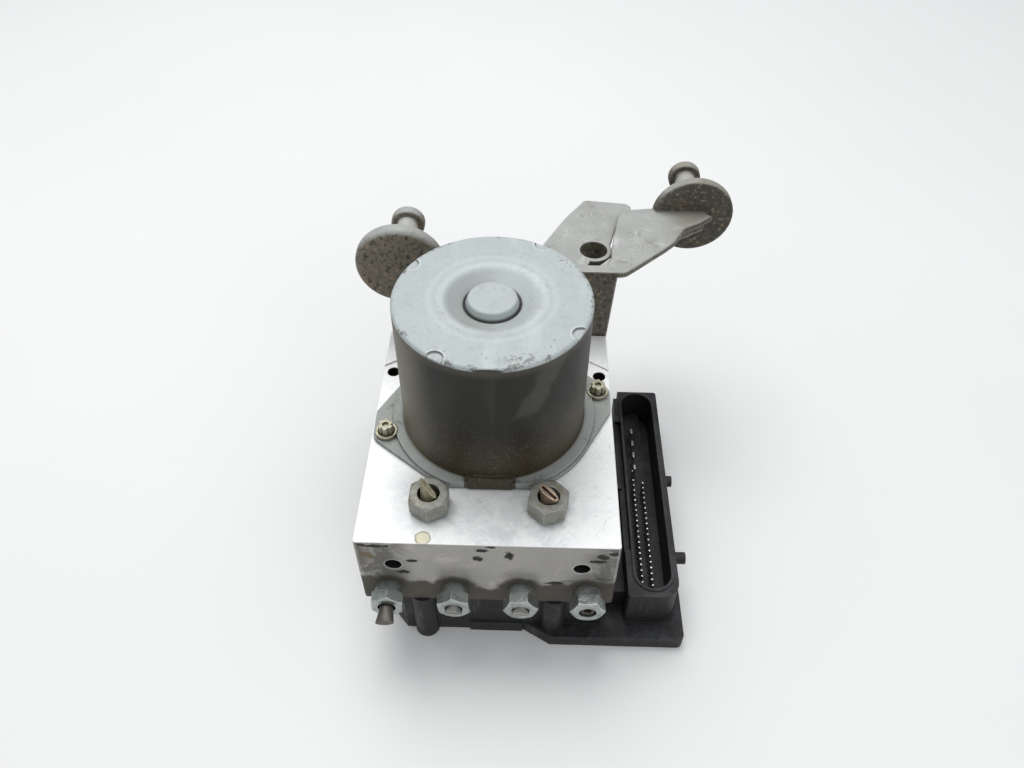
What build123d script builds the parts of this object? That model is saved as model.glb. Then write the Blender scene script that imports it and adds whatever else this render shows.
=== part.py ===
from build123d import *
import math
import os

# ABS brake module: valve block, pump motor, electronic control unit and cast bracket. Millimetres, +Z up.
# Origin: centre of the valve block in plan, with Z = 0 at the underside of the control unit.
# Front is -Y (wheel ports), back is +Y (bracket), right is +X (connector).

# ---- Driving dimensions: valve block ----
block_width = 90.0
block_depth = 103.0
block_height = 36.7
block_edge = 0.6
rear_land_rise = 0.8
rear_land_radius = 77.0
rear_land_centre_y = -31.5
face_gap = 0.05
glue_gap = 0.1
thread_gap = 0.05
clearance_gap = 0.3
cut_past = 1.0
overlap = 1.0
bore_wall = 5.0

# ---- Ports, nuts and pipes ----
wheel_port_count = 4
wheel_port_edge = 9.6
wheel_port_rise = 7.7
wheel_port_depth = 16.0
wheel_thread = 10.0
wheel_hex = 11.0
wheel_collar_length = 3.4
wheel_hex_length = 4.8
wheel_pipe = 5.0
wheel_nut_bore = 6.4
wheel_nut_turns = [26.0, 36.0, 8.0, 3.0]
wheel_pipe_reaches = [14.0, 9.6, 9.5, 7.4]
wheel_pinch_lengths = [5.0, 3.5, 3.5, 0.0]
wheel_pinch_widths = [6.6, 6.3, 6.4, 0.0]
wheel_pinch_thicknesses = [3.0, 1.5, 1.5, 0.0]
wheel_pinch_turns = [6.0, -5.0, -3.0, 0.0]
mc_port_spacing = 40.8
mc_port_offset = 43.3
mc_port_depth = 15.0
mc_thread = 12.0
mc_hex = 13.0
mc_collar_length = 0.8
mc_hex_length = 7.0
mc_nut_turns = [28.0, 18.0]
mc_pipe_size = 6.0
mc_nut_bore = 7.8
mc_pipe_reaches = [10.8, 9.8]
mc_pinch_length = 5.0
mc_pinch_widths = [8.7, 8.6]
mc_pinch_thicknesses = [1.8, 3.2]
mc_pinch_turns = [-41.0, -45.0]
mc_pinch_tilts = [31.0, 4.0]
mc_mouth_width = 6.6
mc_mouth_height = 1.1
mc_mouth_depth = 3.0
pipe_wall = 1.0
pipe_flare = 0.8
pipe_flare_length = 1.4
nut_chamfer = 1.3
nut_thread_chamfer = 1.0
nut_seat_gap = 1.5
collar_relief = 0.3
port_cone = 2.5
port_drill = 1.5

# ---- Plain holes in the block ----
front_hole_edge = 12.4
front_hole_drop = 13.5
front_hole_radius = 3.0
front_hole_depth = 13.0
top_hole_edge = 4.0
top_hole_setback = 23.4
top_hole_radius = 2.5
top_hole_depth = 12.0

# ---- Pump motor ----
motor_y = 7.0
motor_radius = 33.8
motor_height = 58.4
motor_wall = 1.8
motor_rim = 1.2
dish_radius = 17.5
dish_round = 16.0
dish_depth = 2.9
boss_radius = 9.3
boss_top_radius = 8.2
boss_round = 0.9
boss_rise = 2.75
boss_groove = 0.8
boss_groove_depth = 0.5
crimp_radius = 2.8
crimp_depth = 0.7
crimp_inset = 0.4
crimp_angles = [-120.0, -30.0, 60.0, 150.0]
flange_thickness = 1.6
flange_radius = 38.6
flange_ring_radius = 37.9
flange_step = 1.3
flange_flat = 35.3
flange_foot = 0.8
ear_reach = 41.1
ear_radius = 4.9
ear_angles = [197.0, 15.0]
ear_corner_reach = 42.4
ear_corner_radius = 2.0
ear_corner_angles = [182.6, 2.6]
lug_width = 17.8
lug_reach = 35.8
lug_height = 5.4
lug_corner = 2.0
lug_round = 1.2
motor_screw_radius = 2.5
motor_screw_depth = 12.0
motor_screw_head = 2.7
motor_screw_head_height = 3.4
motor_screw_lobes = 6
motor_screw_notch = 0.65
motor_screw_recess = 1.2
motor_screw_recess_depth = 1.0
motor_screw_flange = 4.0
motor_screw_flange_height = 1.5
motor_screw_flange_rim = 0.7
motor_screw_flange_dish = 0.6
screw_point = 0.8

# ---- Motor internals ----
magnet_count = 4
magnet_thickness = 5.5
magnet_span = 74.0
magnet_length = 28.0
air_gap = 0.6
core_length = 24.0
core_base = 22.0
slot_count = 10
slot_width = 4.0
slot_root_radius = 13.0
winding_head = 4.5
winding_gap = 0.25
winding_setback = 1.2
winding_core_wall = 1.0
shaft_radius = 4.0
shaft_top_radius = 3.0
shaft_chamfer = 0.5
shaft_end_gap = 0.5
top_bush_radius = 6.0
top_bush_length = 5.0
commutator_radius = 10.0
commutator_length = 10.0
commutator_base = 5.0
commutator_slot = 0.6
riser_width = 1.5
riser_height = 1.5
main_bearing_radius = 11.0
main_bearing_width = 7.0
bearing_ring_width = 1.8
bearing_groove_depth = 0.6
running_gap = 0.05
seat_gap = 0.02
end_plate_thickness = 2.0
hub_radius = 14.9
hub_lip = 2.0
brush_plate_thickness = 2.5
brush_width = 6.0
brush_height = 7.0
brush_length = 12.0
brush_plate_gap = 1.0
brush_plate_inner_gap = 2.0
brush_box_gap = 2.5
brush_box_tail = 1.0
brush_box_wall = 1.2
lead_offset = 20.5
lead_sleeve_radius = 3.2
lead_width = 1.6
lead_thickness = 0.8
lead_rise = 2.0
lead_spacing = 3.0
seal_radius = 31.0
seal_section = 1.8

# ---- Pump ----
pit_gap = 0.1
pit_depth = 19.5
pump_drop = 13.5
eccentric_throw = 1.2
eccentric_radius = 6.0
eccentric_width = 9.0
needle_ring_radius = 10.0
piston_radius = 3.2
piston_stand_off = 0.3
piston_length = 17.0
cylinder_radius = 6.0
cylinder_inner_end = 16.5
plug_radius = 7.5
plug_length = 9.2
plug_recess = 0.8
plug_hex = 6.0
pump_wire = 0.9
pump_spring_turns = 3.0
plug_nose_length = 1.0
plug_nose_relief = 0.5
plug_hex_depth = 4.0

# ---- Accumulators ----
accumulator_spacing = 40.8
accumulator_rise = 17.2
accumulator_radius = 10.0
accumulator_piston_length = 8.0
accumulator_piston_wall = 2.6
accumulator_cap_length = 3.0
accumulator_cap_rim = 2.0
accumulator_cap_floor = 1.0
accumulator_breather = 0.8
accumulator_wire = 1.4
accumulator_turns = 3.0

# ---- Valves and coils ----
valve_columns = 4
valve_rows = 3
valve_pitch_x = 20.0
valve_pitch_y = 20.0
valve_centre_y = -4.0
valve_bore_radius = 4.5
valve_bore_depth = 14.0
valve_sleeve_radius = 3.9
valve_dome_radius = 3.1
valve_dome_gap = 2.3
valve_tip_chamfer = 0.8
valve_collar_length = 3.0
valve_end_gap = 1.0
coil_radius = 8.5
coil_bore_radius = 3.3
coil_air = 2.3
coil_lead = 0.8
gallery_radius = 3.0
gallery_break = 0.5
gallery_rise = 10.5
gallery_cup_length = 4.0
gallery_cup_wall = 1.0

# ---- Electronic control unit ----
unit_height = 27.3
cover_thickness = 1.5
ledge_height = 6.0
front_overhang = 3.0
wall_setback = 3.0
band_setback = 2.2
band_half_width = 10.0
band_offset = 2.6
right_ledge = 3.5
back_ledge = 1.5
left_inset = 1.0
nose_cut = 12.0
nose_depth = 14.0
corner_radius = 2.5
case_wall = 2.5
tower_web_drop = 4.0
coil_margin = 2.0
seal_thickness = 0.8
seal_inset = 0.4
board_thickness = 1.6
board_base = 4.0
board_gap = 1.0
floor_base = 7.5
floor_thickness = 2.0
coil_window_radius = 6.0
deck_top = 16.0
deck_front = -40.0
tower_spacing = 48.2
tower_radius = 4.6
tower_setback = 3.5
rear_tower_edge = 7.0
rear_tower_setback = 5.5
tower_bore_radius = 1.9
unit_screw_radius = 1.8
unit_screw_head = 3.0
unit_screw_head_height = 2.4
unit_screw_sink = 0.3
unit_screw_socket = 1.4
unit_screw_socket_depth = 1.0
unit_screw_grip = 10.0
post_radius = 1.5

# ---- Connector shroud and contacts ----
shroud_gap = 6.7
shroud_width = 19.3
shroud_setback = 4.2
shroud_length = 103.3
shroud_top = 25.5
shroud_corner = 1.2
shroud_nose_radius = 6.5
cavity_width = 13.4
cavity_end_wall = 1.7
cavity_setback = 3.2
cavity_offset = 0.3
lip_width = 1.0
lip_rise = 0.7
land_length = 20.0
land_drop = 3.0
rail_start = 50.5
rail_length = 35.0
rail_rise = 1.6
rail_drop = 2.0
rear_notch_length = 4.2
rear_notch_width = 2.0
peg_radius = 2.3
peg_reaches = [3.8, 2.3]
peg_positions = [18.3, 55.0]
island_edge = 2.95
island_rise = 2.5
pin_pitch = 2.54
pins_per_row = 20
pin_section = 0.64
pin_top = 20.0
pin_row_spacing = 3.8
first_pin_setback = 6.2
row_shift = 1.45
blade_shift = 1.1
blade_count = 4
blade_pitch = 6.67
blade_start = 7.0
blade_width = 2.6
blade_thickness = 0.8

# ---- Bracket ----
web_thickness = 4.2
web_foot_drop = 5.0
plate_rise = 34.0
plate_thickness = 2.5
plate_round = 1.0
tab_drop = 3.0
left_disc_radius = 17.8
left_disc_thickness = 6.0
left_disc_round = 3.0
right_disc_radius = 17.0
right_disc_thickness = 4.0
right_disc_round = 1.2
pin_rise = 31.5
left_disc_inset = 6.1
left_disc_reach = 2.5
right_disc_overhang = 36.0
right_disc_reach = 41.5
bobbin_neck_radius = 4.5
bobbin_end = 28.8
bobbin_head_radius = 7.0
bobbin_head_length = 4.5
bobbin_flare = 2.0
# Plan points of the arm, (x, y) from the block's rear right edge, then from the right disc's front centre.
arm_root = [(-9.0, 0.0), (4.6, 0.0), (9.6, 4.6)]
arm_tongue = [
    (-14.1, -25.1), (-10.1, -20.8), (-4.8, -11.2), (1.6, -7.4), (7.6, -2.2), (4.0, 1.0), (-16.0, 3.0),
]
arm_rear = [(6.2, 42.5), (3.6, 36.6), (2.6, 31.0), (-0.1, 14.8), (-0.4, 9.5), (-2.5, 4.2), (-9.0, 4.2)]
arm_front_round = 5.0
arm_rear_round = 3.0
# Plan points of the gusset below the tongue, from the right disc's front centre.
gusset_points = [(-12.0, -16.0), (4.0, -5.0), (6.0, 1.0), (-8.0, 1.0)]
# Plan points of the tab, from the upright boss, then its two roots on the web.
tab_points = [(-5.2, -17.0), (0.0, -2.0), (6.5, 3.0), (9.5, 15.0), (17.6, 30.5), (15.1, 33.1), (-2.5, 35.1)]
tab_rear = [(-11.2, 21.5), (-20.2, 3.5), (-28.8, -17.0)]
tab_round = 2.0
# Web: how far the edges stand from the block's sides, its seat and the left disc.
web_inset = 2.0
web_top_overhang = 1.8
web_top_reach = 16.0
web_shoulder_reach = 8.0
web_shoulder_drop = 1.0
web_link_reach = 2.0
web_link_drop = 12.0
web_left_drop = 4.0
window_left = 20.0
window_top_left = 22.0
window_right = 29.0
window_top_right = 25.0
window_rise = 6.0
window_drop = 12.0
window_round = 4.0
link_reach = 24.0
link_below = 11.0
link_above = 4.0
link_block = 10.0
bracket_boss_inset = 6.8
bracket_boss_reach = 18.0
bracket_boss_radius = 7.4
bracket_boss_height = 10.0
bracket_boss_bore = 5.6
bracket_bolt_edge = 7.0
bracket_bolt_rise = 17.7
bracket_centre_bolt_rise = 10.7
bracket_bolt_radius = 4.0
bracket_bolt_head = 6.5
bracket_bolt_head_height = 5.5
bracket_bolt_flange = 8.0
bracket_pad_radius = 8.6
bracket_pad_height = 3.0
rib_thickness = 4.0
rib_depth = 5.0
rib_start = 4.0
rib_end = 6.0
gusset_depth = 3.0
bolt_hole_gap = 0.4
bolt_washer = 1.6
bolt_washer_rim = 0.6
breather_radius = 5.0

# ---- Derived places ----
seat_z = unit_height + block_height
front_y = -block_depth / 2
back_y = block_depth / 2
wheel_port_z = unit_height + wheel_port_rise
wheel_port_pitch = (block_width - 2 * wheel_port_edge) / (wheel_port_count - 1)
wheel_port_xs = [(i - (wheel_port_count - 1) / 2) * wheel_port_pitch for i in range(wheel_port_count)]
mc_port_y = motor_y - mc_port_offset
mc_port_xs = [-mc_port_spacing / 2, mc_port_spacing / 2]
front_hole_z = seat_z - front_hole_drop
top_hole_y = back_y - top_hole_setback
motor_ears = [
    (ear_reach * math.cos(math.radians(a)), motor_y + ear_reach * math.sin(math.radians(a)))
    for a in ear_angles
]
ear_corners = [
    (ear_corner_reach * math.cos(math.radians(a)), motor_y + ear_corner_reach * math.sin(math.radians(a)))
    for a in ear_corner_angles
]
can_inner_radius = motor_radius - motor_wall
magnet_outer_radius = can_inner_radius - glue_gap
core_radius = magnet_outer_radius - magnet_thickness - air_gap
dish_z = seat_z + motor_height - dish_depth
boss_z = dish_z + boss_rise
pocket_top = boss_z - motor_wall
pit_radius = hub_radius + pit_gap
pump_z = seat_z - pump_drop
lead_y = motor_y + lead_offset
accumulator_z = unit_height + accumulator_rise
accumulator_xs = [-accumulator_spacing / 2, accumulator_spacing / 2]
valve_xs = [(i - (valve_columns - 1) / 2) * valve_pitch_x for i in range(valve_columns)]
valve_ys = [valve_centre_y + (j - (valve_rows - 1) / 2) * valve_pitch_y for j in range(valve_rows)]
valve_spots = [(x, y) for x in valve_xs for y in valve_ys]
gallery_ys = [valve_ys[0], valve_ys[-1]]
gallery_depth = block_width / 2 - (valve_xs[-1] + valve_bore_radius) + gallery_break
accumulator_depth = back_y - (valve_ys[-1] + valve_bore_radius + bore_wall)
bracket_bolt_depth = back_y - (lead_y + lead_sleeve_radius + bore_wall)
plate_top = seat_z + plate_rise
pin_height = seat_z + pin_rise
left_disc_x = left_disc_inset - block_width / 2
left_disc_y = back_y + left_disc_reach
right_disc_x = block_width / 2 + right_disc_overhang
right_disc_y = back_y + right_disc_reach
bracket_boss_x = block_width / 2 - bracket_boss_inset
bracket_boss_y = back_y + bracket_boss_reach
case_half_width = valve_xs[-1] + coil_radius + coil_margin + case_wall
case_front = front_y + wall_setback
case_back = lead_y + lead_sleeve_radius + coil_margin + case_wall
floor_top = floor_base + floor_thickness
coil_height = unit_height - coil_air - floor_top
valve_dome_length = unit_height - valve_dome_gap - floor_top
unit_left = left_inset - block_width / 2
shroud_left = block_width / 2 + shroud_gap
shroud_right = shroud_left + shroud_width
shroud_front = front_y + shroud_setback
shroud_back = shroud_front + shroud_length
base_right = shroud_right + right_ledge
base_front = front_y - front_overhang
base_back = shroud_back + back_ledge
cavity_x = (shroud_left + shroud_right) / 2 + cavity_offset
cavity_length = shroud_length - cavity_setback - cavity_end_wall
cavity_y = shroud_front + cavity_setback + cavity_length / 2
board_top = board_base + board_thickness
first_pin_y = cavity_y - cavity_length / 2 + first_pin_setback
last_pin_y = first_pin_y + (pins_per_row - 1) * pin_pitch
tower_spots = [(side * tower_spacing / 2, front_y + tower_setback) for side in (-1, 1)] + [
    (side * (block_width / 2 - rear_tower_edge), back_y - rear_tower_setback) for side in (-1, 1)
]
bracket_bolts = [
    (bracket_bolt_edge - block_width / 2, unit_height + bracket_bolt_rise),
    (block_width / 2 - bracket_bolt_edge, unit_height + bracket_bolt_rise),
    (0.0, unit_height + bracket_centre_bolt_rise),
]

BASE = (Align.CENTER, Align.CENTER, Align.MIN)
FACING = {
    "up": Rot(0, 0, 0),
    "down": Rot(180, 0, 0),
    "back": Rot(-90, 0, 0),
    "front": Rot(90, 0, 0),
    "right": Rot(0, 90, 0),
    "left": Rot(0, -90, 0),
}


# ---- Helpers ----
def rod(radius, length, at, facing="up"):
    """A cylinder that starts at a point and runs the way it faces."""
    return Pos(*at) * FACING[facing] * Cylinder(radius, length, align=BASE)


def turned(points, at, facing="up"):
    """A turned solid from a profile of (radius, distance along the axis)."""
    profile = Plane.XZ * Polygon(*points, align=None)
    return Pos(*at) * FACING[facing] * revolve(profile, Axis.Z)


def slab(x0, x1, y0, y1, z0, z1):
    """A box between two corners."""
    size = Box(x1 - x0, y1 - y0, z1 - z0, align=(Align.MIN, Align.MIN, Align.MIN))
    return Pos(x0, y0, z0) * size


def plate(outline, z0, z1):
    """A flat outline raised from one height to another."""
    return Pos(0, 0, z0) * extrude(outline, amount=z1 - z0, dir=(0, 0, 1))


def rounded(outline, spots, radius):
    """An outline with the corners nearest to some spots rounded."""
    corners = [outline.vertices().sort_by_distance((x, y, 0))[0] for x, y in spots]
    return fillet(corners, radius)


def helix_spring(radius, wire, length, turns, at, facing):
    """A coil spring of square wire, with its ends square to its axis."""
    pitch = (length - wire) / turns
    path = Helix(pitch=pitch, height=length - wire, radius=radius)
    section = Plane(origin=(radius, 0, 0), x_dir=(1, 0, 0), z_dir=(0, 1, 0)) * Rectangle(wire, wire)
    coil = sweep(section, path=path, is_frenet=True)
    return Pos(*at) * FACING[facing] * Pos(0, 0, wire / 2) * coil


def save(name, shape):
    """One STEP file for one sub-part."""
    export_step(shape, "parts/" + name + ".step")


def group(solids):
    """Like pieces that share one node."""
    return Compound(children=[s for s in solids])


# ---- Valve block ----
def hydraulic_block():
    full_height = block_height + rear_land_rise
    block = Pos(0, 0, unit_height) * Box(block_width, block_depth, full_height, align=BASE)
    block = chamfer(block.edges(), block_edge)
    block -= rod(rear_land_radius, rear_land_rise + face_gap, (0, rear_land_centre_y, seat_z))
    block -= rod(pit_radius, pit_depth, (0, motor_y, seat_z - pit_depth))
    block -= plate(seal_ring(seal_gap=glue_gap), seat_z - seal_section, seat_z)
    block -= rod(lead_sleeve_radius + seat_gap, block_height, (0, lead_y, unit_height))
    for x, y in motor_ears:
        block -= rod(motor_screw_radius + thread_gap, motor_screw_depth, (x, y, seat_z - motor_screw_depth))
    for side in (-1, 1):
        x = side * (block_width / 2 - front_hole_edge)
        block -= rod(front_hole_radius, front_hole_depth, (x, front_y, front_hole_z), "back")
        x = side * (block_width / 2 - top_hole_edge)
        block -= rod(top_hole_radius, top_hole_depth, (x, top_hole_y, seat_z - top_hole_depth))
    for x in wheel_port_xs:
        block -= port(wheel_thread, wheel_port_depth, (x, front_y, wheel_port_z), "back")
    for x in mc_port_xs:
        block -= port(mc_thread, mc_port_depth, (x, mc_port_y, seat_z), "down")
    for x in accumulator_xs:
        block -= rod(accumulator_radius, accumulator_depth, (x, back_y, accumulator_z), "front")
    for x, z in bracket_bolts:
        block -= rod(bracket_bolt_radius + thread_gap, bracket_bolt_depth + cut_past, (x, back_y, z), "front")
    for x, y in valve_spots:
        block -= rod(valve_bore_radius, valve_bore_depth, (x, y, unit_height))
    for x, y in tower_spots:
        block -= rod(unit_screw_radius + thread_gap, unit_screw_grip + cut_past, (x, y, unit_height))
    for side, facing in ((-1, "right"), (1, "left")):
        edge = side * block_width / 2
        bore_length = block_width / 2 - plug_recess - plug_length
        block -= rod(plug_radius + thread_gap, plug_recess + plug_length, (edge, motor_y, pump_z), facing)
        block -= rod(cylinder_radius + seat_gap, bore_length, (side * bore_length, motor_y, pump_z), facing)
        for y in gallery_ys:
            block -= rod(gallery_radius, gallery_depth, (edge, y, unit_height + gallery_rise), facing)
    return block


def port(thread, depth, at, facing):
    """A threaded port with its conical pipe seat."""
    r = thread / 2
    return turned([(0, 0), (r, 0), (r, depth - port_cone), (port_drill, depth), (0, depth)], at, facing)


def gallery_plugs():
    """Press-in cups that close the cross-drilled galleries."""
    length = gallery_cup_length
    inner = gallery_radius - gallery_cup_wall
    cup = [
        (0, 0), (gallery_radius, 0), (gallery_radius, length), (inner, length), (inner, gallery_cup_wall),
        (0, gallery_cup_wall),
    ]
    start = block_width / 2 - plug_recess - length
    return group(
        turned(cup, (side * start, y, unit_height + gallery_rise), facing)
        for side, facing in ((-1, "left"), (1, "right"))
        for y in gallery_ys
    )


# ---- Tube nuts and pipe stubs ----
def tube_nut(thread, across_flats, bore, collar_length, hex_length, depth, turn, at, facing):
    """A tube nut: threaded shank in the port, round collar, chamfered hexagon."""
    r = thread / 2 - thread_gap
    shank_end = port_cone + nut_seat_gap - depth
    shank = turned(
        [(0, shank_end), (r - nut_thread_chamfer, shank_end), (r, shank_end + nut_thread_chamfer), (r, face_gap),
         (0, face_gap)],
        (0, 0, 0),
    )
    collar_radius = across_flats / 2 - collar_relief
    collar = rod(collar_radius, collar_length, (0, 0, face_gap))
    top = collar_length + hex_length
    hexagon = RegularPolygon(across_flats / 2, 6, major_radius=False, rotation=turn)
    hexagon = plate(hexagon, collar_length, top)
    corner = across_flats / 2 / math.cos(math.pi / 6)
    envelope = turned(
        [(0, 0), (collar_radius, 0), (collar_radius, collar_length), (corner, collar_length + nut_chamfer / 2),
         (corner, top - nut_chamfer / 2), (corner - nut_chamfer, top), (0, top)],
        (0, 0, 0),
    )
    body = shank + collar + (hexagon & envelope)
    body -= rod(bore / 2, top - shank_end, (0, 0, shank_end))
    return Pos(*at) * FACING[facing] * body


def mc_tube_nuts():
    return group(
        tube_nut(
            mc_thread, mc_hex, mc_nut_bore, mc_collar_length, mc_hex_length, mc_port_depth, turn,
            (x, mc_port_y, seat_z), "up",
        )
        for x, turn in zip(mc_port_xs, mc_nut_turns)
    )


def wheel_tube_nuts():
    return group(
        tube_nut(
            wheel_thread, wheel_hex, wheel_nut_bore, wheel_collar_length, wheel_hex_length,
            wheel_port_depth, turn,
            (x, front_y, wheel_port_z), "front",
        )
        for x, turn in zip(wheel_port_xs, wheel_nut_turns)
    )


def pipe_stub(diameter, depth, reach, pinch_length, pinch_width, pinch_thickness, turn, tilt=0.0):
    """A cut pipe along +Z: flared seat in the port, straight run, and an end pinched by the cutter."""
    r = diameter / 2
    seat_end = port_cone - depth
    straight_end = reach - pinch_length
    bore_end = straight_end
    run = turned(
        [(0, seat_end), (r + pipe_flare, seat_end), (r + pipe_flare, seat_end + pipe_flare),
         (r, seat_end + pipe_flare_length), (r, straight_end), (0, straight_end)],
        (0, 0, 0),
    )
    if pinch_length > 0:
        round_end = Pos(0, 0, straight_end) * Rot(0, 0, turn) * Circle(r)
        tip = Pos(0, 0, reach) * Rot(0, 0, turn) * Rot(0, tilt, 0) * Ellipse(
            pinch_width / 2, pinch_thickness / 2
        )
        run += loft([round_end, tip])
        bore_end = straight_end - pipe_wall
    return run - rod(r - pipe_wall, bore_end - seat_end, (0, 0, seat_end))


def mc_pipe(place):
    """A stub on top of the block, pinched on the slant."""
    stub = pipe_stub(
        mc_pipe_size, mc_port_depth, mc_pipe_reaches[place], mc_pinch_length, mc_pinch_widths[place],
        mc_pinch_thicknesses[place], mc_pinch_turns[place], mc_pinch_tilts[place],
    )
    return Pos(mc_port_xs[place], mc_port_y, seat_z) * stub


def open_mc_pipe(place):
    """A stub on top of the block whose pinched end still gapes."""
    mouth = Box(mc_mouth_width, mc_mouth_height, mc_mouth_depth + cut_past, align=BASE)
    mouth_base = seat_z + mc_pipe_reaches[place] - mc_mouth_depth
    at = Pos(mc_port_xs[place], mc_port_y, mouth_base)
    return mc_pipe(place) - at * Rot(0, 0, mc_pinch_turns[place]) * mouth


def wheel_pipe_stub(place):
    stub = pipe_stub(
        wheel_pipe, wheel_port_depth, wheel_pipe_reaches[place], wheel_pinch_lengths[place],
        wheel_pinch_widths[place], wheel_pinch_thicknesses[place], wheel_pinch_turns[place],
    )
    return Pos(wheel_port_xs[place], front_y, wheel_port_z) * FACING["front"] * stub


# ---- Pump motor ----
def flange_outline():
    """Two broad ears joined by straight tangents to a round middle."""
    rings = [Pos(0, motor_y) * Circle(flange_radius)]
    rings += [Pos(x, y) * Circle(ear_radius) for x, y in motor_ears]
    rings += [Pos(x, y) * Circle(ear_corner_radius) for x, y in ear_corners]
    return make_hull([edge for ring in rings for edge in ring.edges()])


def motor_housing():
    """The drawn can with its dished end, bearing boss, crimps, front lug and flange, as one sheet part."""
    top = seat_z + motor_height
    inner_top = dish_z - motor_wall
    groove = boss_radius + boss_groove
    groove_z = dish_z - boss_groove_depth
    outer = Polygon(
        (0, seat_z), (motor_radius, seat_z), (motor_radius, top), (dish_radius, top), (groove, dish_z),
        (boss_radius, groove_z), (boss_top_radius, boss_z), (0, boss_z), align=None,
    )
    outer = rounded(outer, [(motor_radius, top)], motor_rim)
    outer = rounded(outer, [(dish_radius, top)], dish_round)
    outer = rounded(outer, [(boss_top_radius, boss_z)], boss_round)
    inner = Polygon(
        (0, seat_z), (can_inner_radius, seat_z), (can_inner_radius, inner_top),
        (top_bush_radius + seat_gap, inner_top),
        (top_bush_radius + seat_gap, pocket_top), (0, pocket_top), align=None,
    )
    can = Pos(0, motor_y, 0) * revolve(Plane.XZ * (outer - inner), Axis.Z)
    ring_top = seat_z + flange_thickness + flange_step
    foot = motor_radius + flange_foot
    flange = plate(flange_outline(), seat_z, seat_z + flange_thickness)
    flange += plate(Pos(0, motor_y) * Circle(flange_ring_radius), seat_z, ring_top)
    flange += turned(
        [(0, seat_z), (foot, seat_z), (foot, ring_top), (motor_radius, ring_top + flange_foot),
         (0, ring_top + flange_foot)],
        (0, motor_y, 0),
    )
    front = motor_y - flange_flat
    flange -= slab(-flange_radius, flange_radius, front - flange_radius, front, seat_z, ring_top + cut_past)
    lug_outline = Pos(0, motor_y - lug_reach / 2) * RectangleRounded(lug_width, lug_reach, lug_corner)
    lug = plate(lug_outline, seat_z, seat_z + lug_height)
    flange += fillet(lug.faces().sort_by(Axis.Z)[-1].edges(), lug_round)
    flange -= rod(can_inner_radius, lug_height, (0, motor_y, seat_z))
    for x, y in motor_ears:
        flange -= rod(motor_screw_radius + clearance_gap, flange_thickness, (x, y, seat_z))
        flange -= rod(motor_screw_flange + clearance_gap, 2 * flange_step, (x, y, seat_z + flange_thickness))
    housing = can + flange
    for angle in crimp_angles:
        x = (motor_radius - crimp_inset) * math.cos(math.radians(angle))
        y = motor_y + (motor_radius - crimp_inset) * math.sin(math.radians(angle))
        housing -= rod(crimp_radius, crimp_depth + cut_past, (x, y, top - crimp_depth))
    return housing


def motor_screws():
    """Screws with star heads on a dished flange, through the two ears."""
    head_z = flange_thickness
    flange_top = head_z + motor_screw_flange_height
    dish_floor = flange_top - motor_screw_flange_dish
    head_top = flange_top + motor_screw_head_height
    end = cut_past - motor_screw_depth
    r = motor_screw_radius
    profile = [
        (0, end), (r - screw_point, end), (r, end + screw_point), (r, head_z), (motor_screw_flange, head_z),
        (motor_screw_flange, flange_top), (motor_screw_flange - motor_screw_flange_rim, flange_top),
        (motor_screw_head, dish_floor), (0, dish_floor),
    ]
    star = Circle(motor_screw_head)
    for i in range(motor_screw_lobes):
        star -= Rot(0, 0, i * 360 / motor_screw_lobes) * Pos(motor_screw_head, 0) * Circle(motor_screw_notch)
    head = plate(star, dish_floor, head_top)
    head -= rod(motor_screw_recess, motor_screw_recess_depth, (0, 0, head_top - motor_screw_recess_depth))
    screw = turned(profile, (0, 0, 0)) + head
    return group(Pos(x, y, seat_z) * screw for x, y in motor_ears)


def seal_ring(seal_gap=0.0):
    """The groove or ring outline under the motor, in plan."""
    ring = Circle(seal_radius + seal_section / 2 + seal_gap) - Circle(
        seal_radius - seal_section / 2 - seal_gap
    )
    return Pos(0, motor_y) * ring


def motor_seal():
    return plate(seal_ring(), seat_z - seal_section, seat_z)


def motor_magnets():
    """Arc magnets glued inside the can, evenly spaced."""
    base = seat_z + core_base - (magnet_length - core_length) / 2
    outer = magnet_outer_radius
    profile = Plane.XZ * Polygon(
        (outer - magnet_thickness, base), (outer, base), (outer, base + magnet_length),
        (outer - magnet_thickness, base + magnet_length), align=None,
    )
    arc = revolve(profile, Axis.Z, revolution_arc=magnet_span)
    step = 360 / magnet_count
    return group(Pos(0, motor_y, 0) * Rot(0, 0, i * step) * arc for i in range(magnet_count))


def armature_core():
    """Lamination stack with open slots."""
    slot_length = core_radius - slot_root_radius + cut_past
    slot_x = slot_root_radius + slot_length / 2
    outline = Circle(core_radius) - Circle(shaft_radius + seat_gap)
    for i in range(slot_count):
        outline -= Rot(0, 0, i * 360 / slot_count) * Pos(slot_x, 0) * Rectangle(slot_length, slot_width)
    base = seat_z + core_base
    return Pos(0, motor_y, 0) * plate(outline, base, base + core_length)


def armature_winding():
    """Wire in the slots and its end turns above and below the stack, as one bundle."""
    bar_width = slot_width - 2 * winding_gap
    bar_inner = slot_root_radius + winding_gap
    bar_outer = core_radius - winding_setback
    ring = Circle(bar_outer) - Circle(bar_inner - winding_core_wall)
    base = seat_z + core_base - winding_gap
    top = seat_z + core_base + core_length + winding_gap
    bundle = plate(ring, base - winding_head, base) + plate(ring, top, top + winding_head)
    bar_x = (bar_inner + bar_outer) / 2
    bar = Pos(bar_x, 0) * Rectangle(bar_outer - bar_inner, bar_width)
    for i in range(slot_count):
        bundle += plate(Rot(0, 0, i * 360 / slot_count) * bar, base, top)
    return Pos(0, motor_y, 0) * bundle


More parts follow.
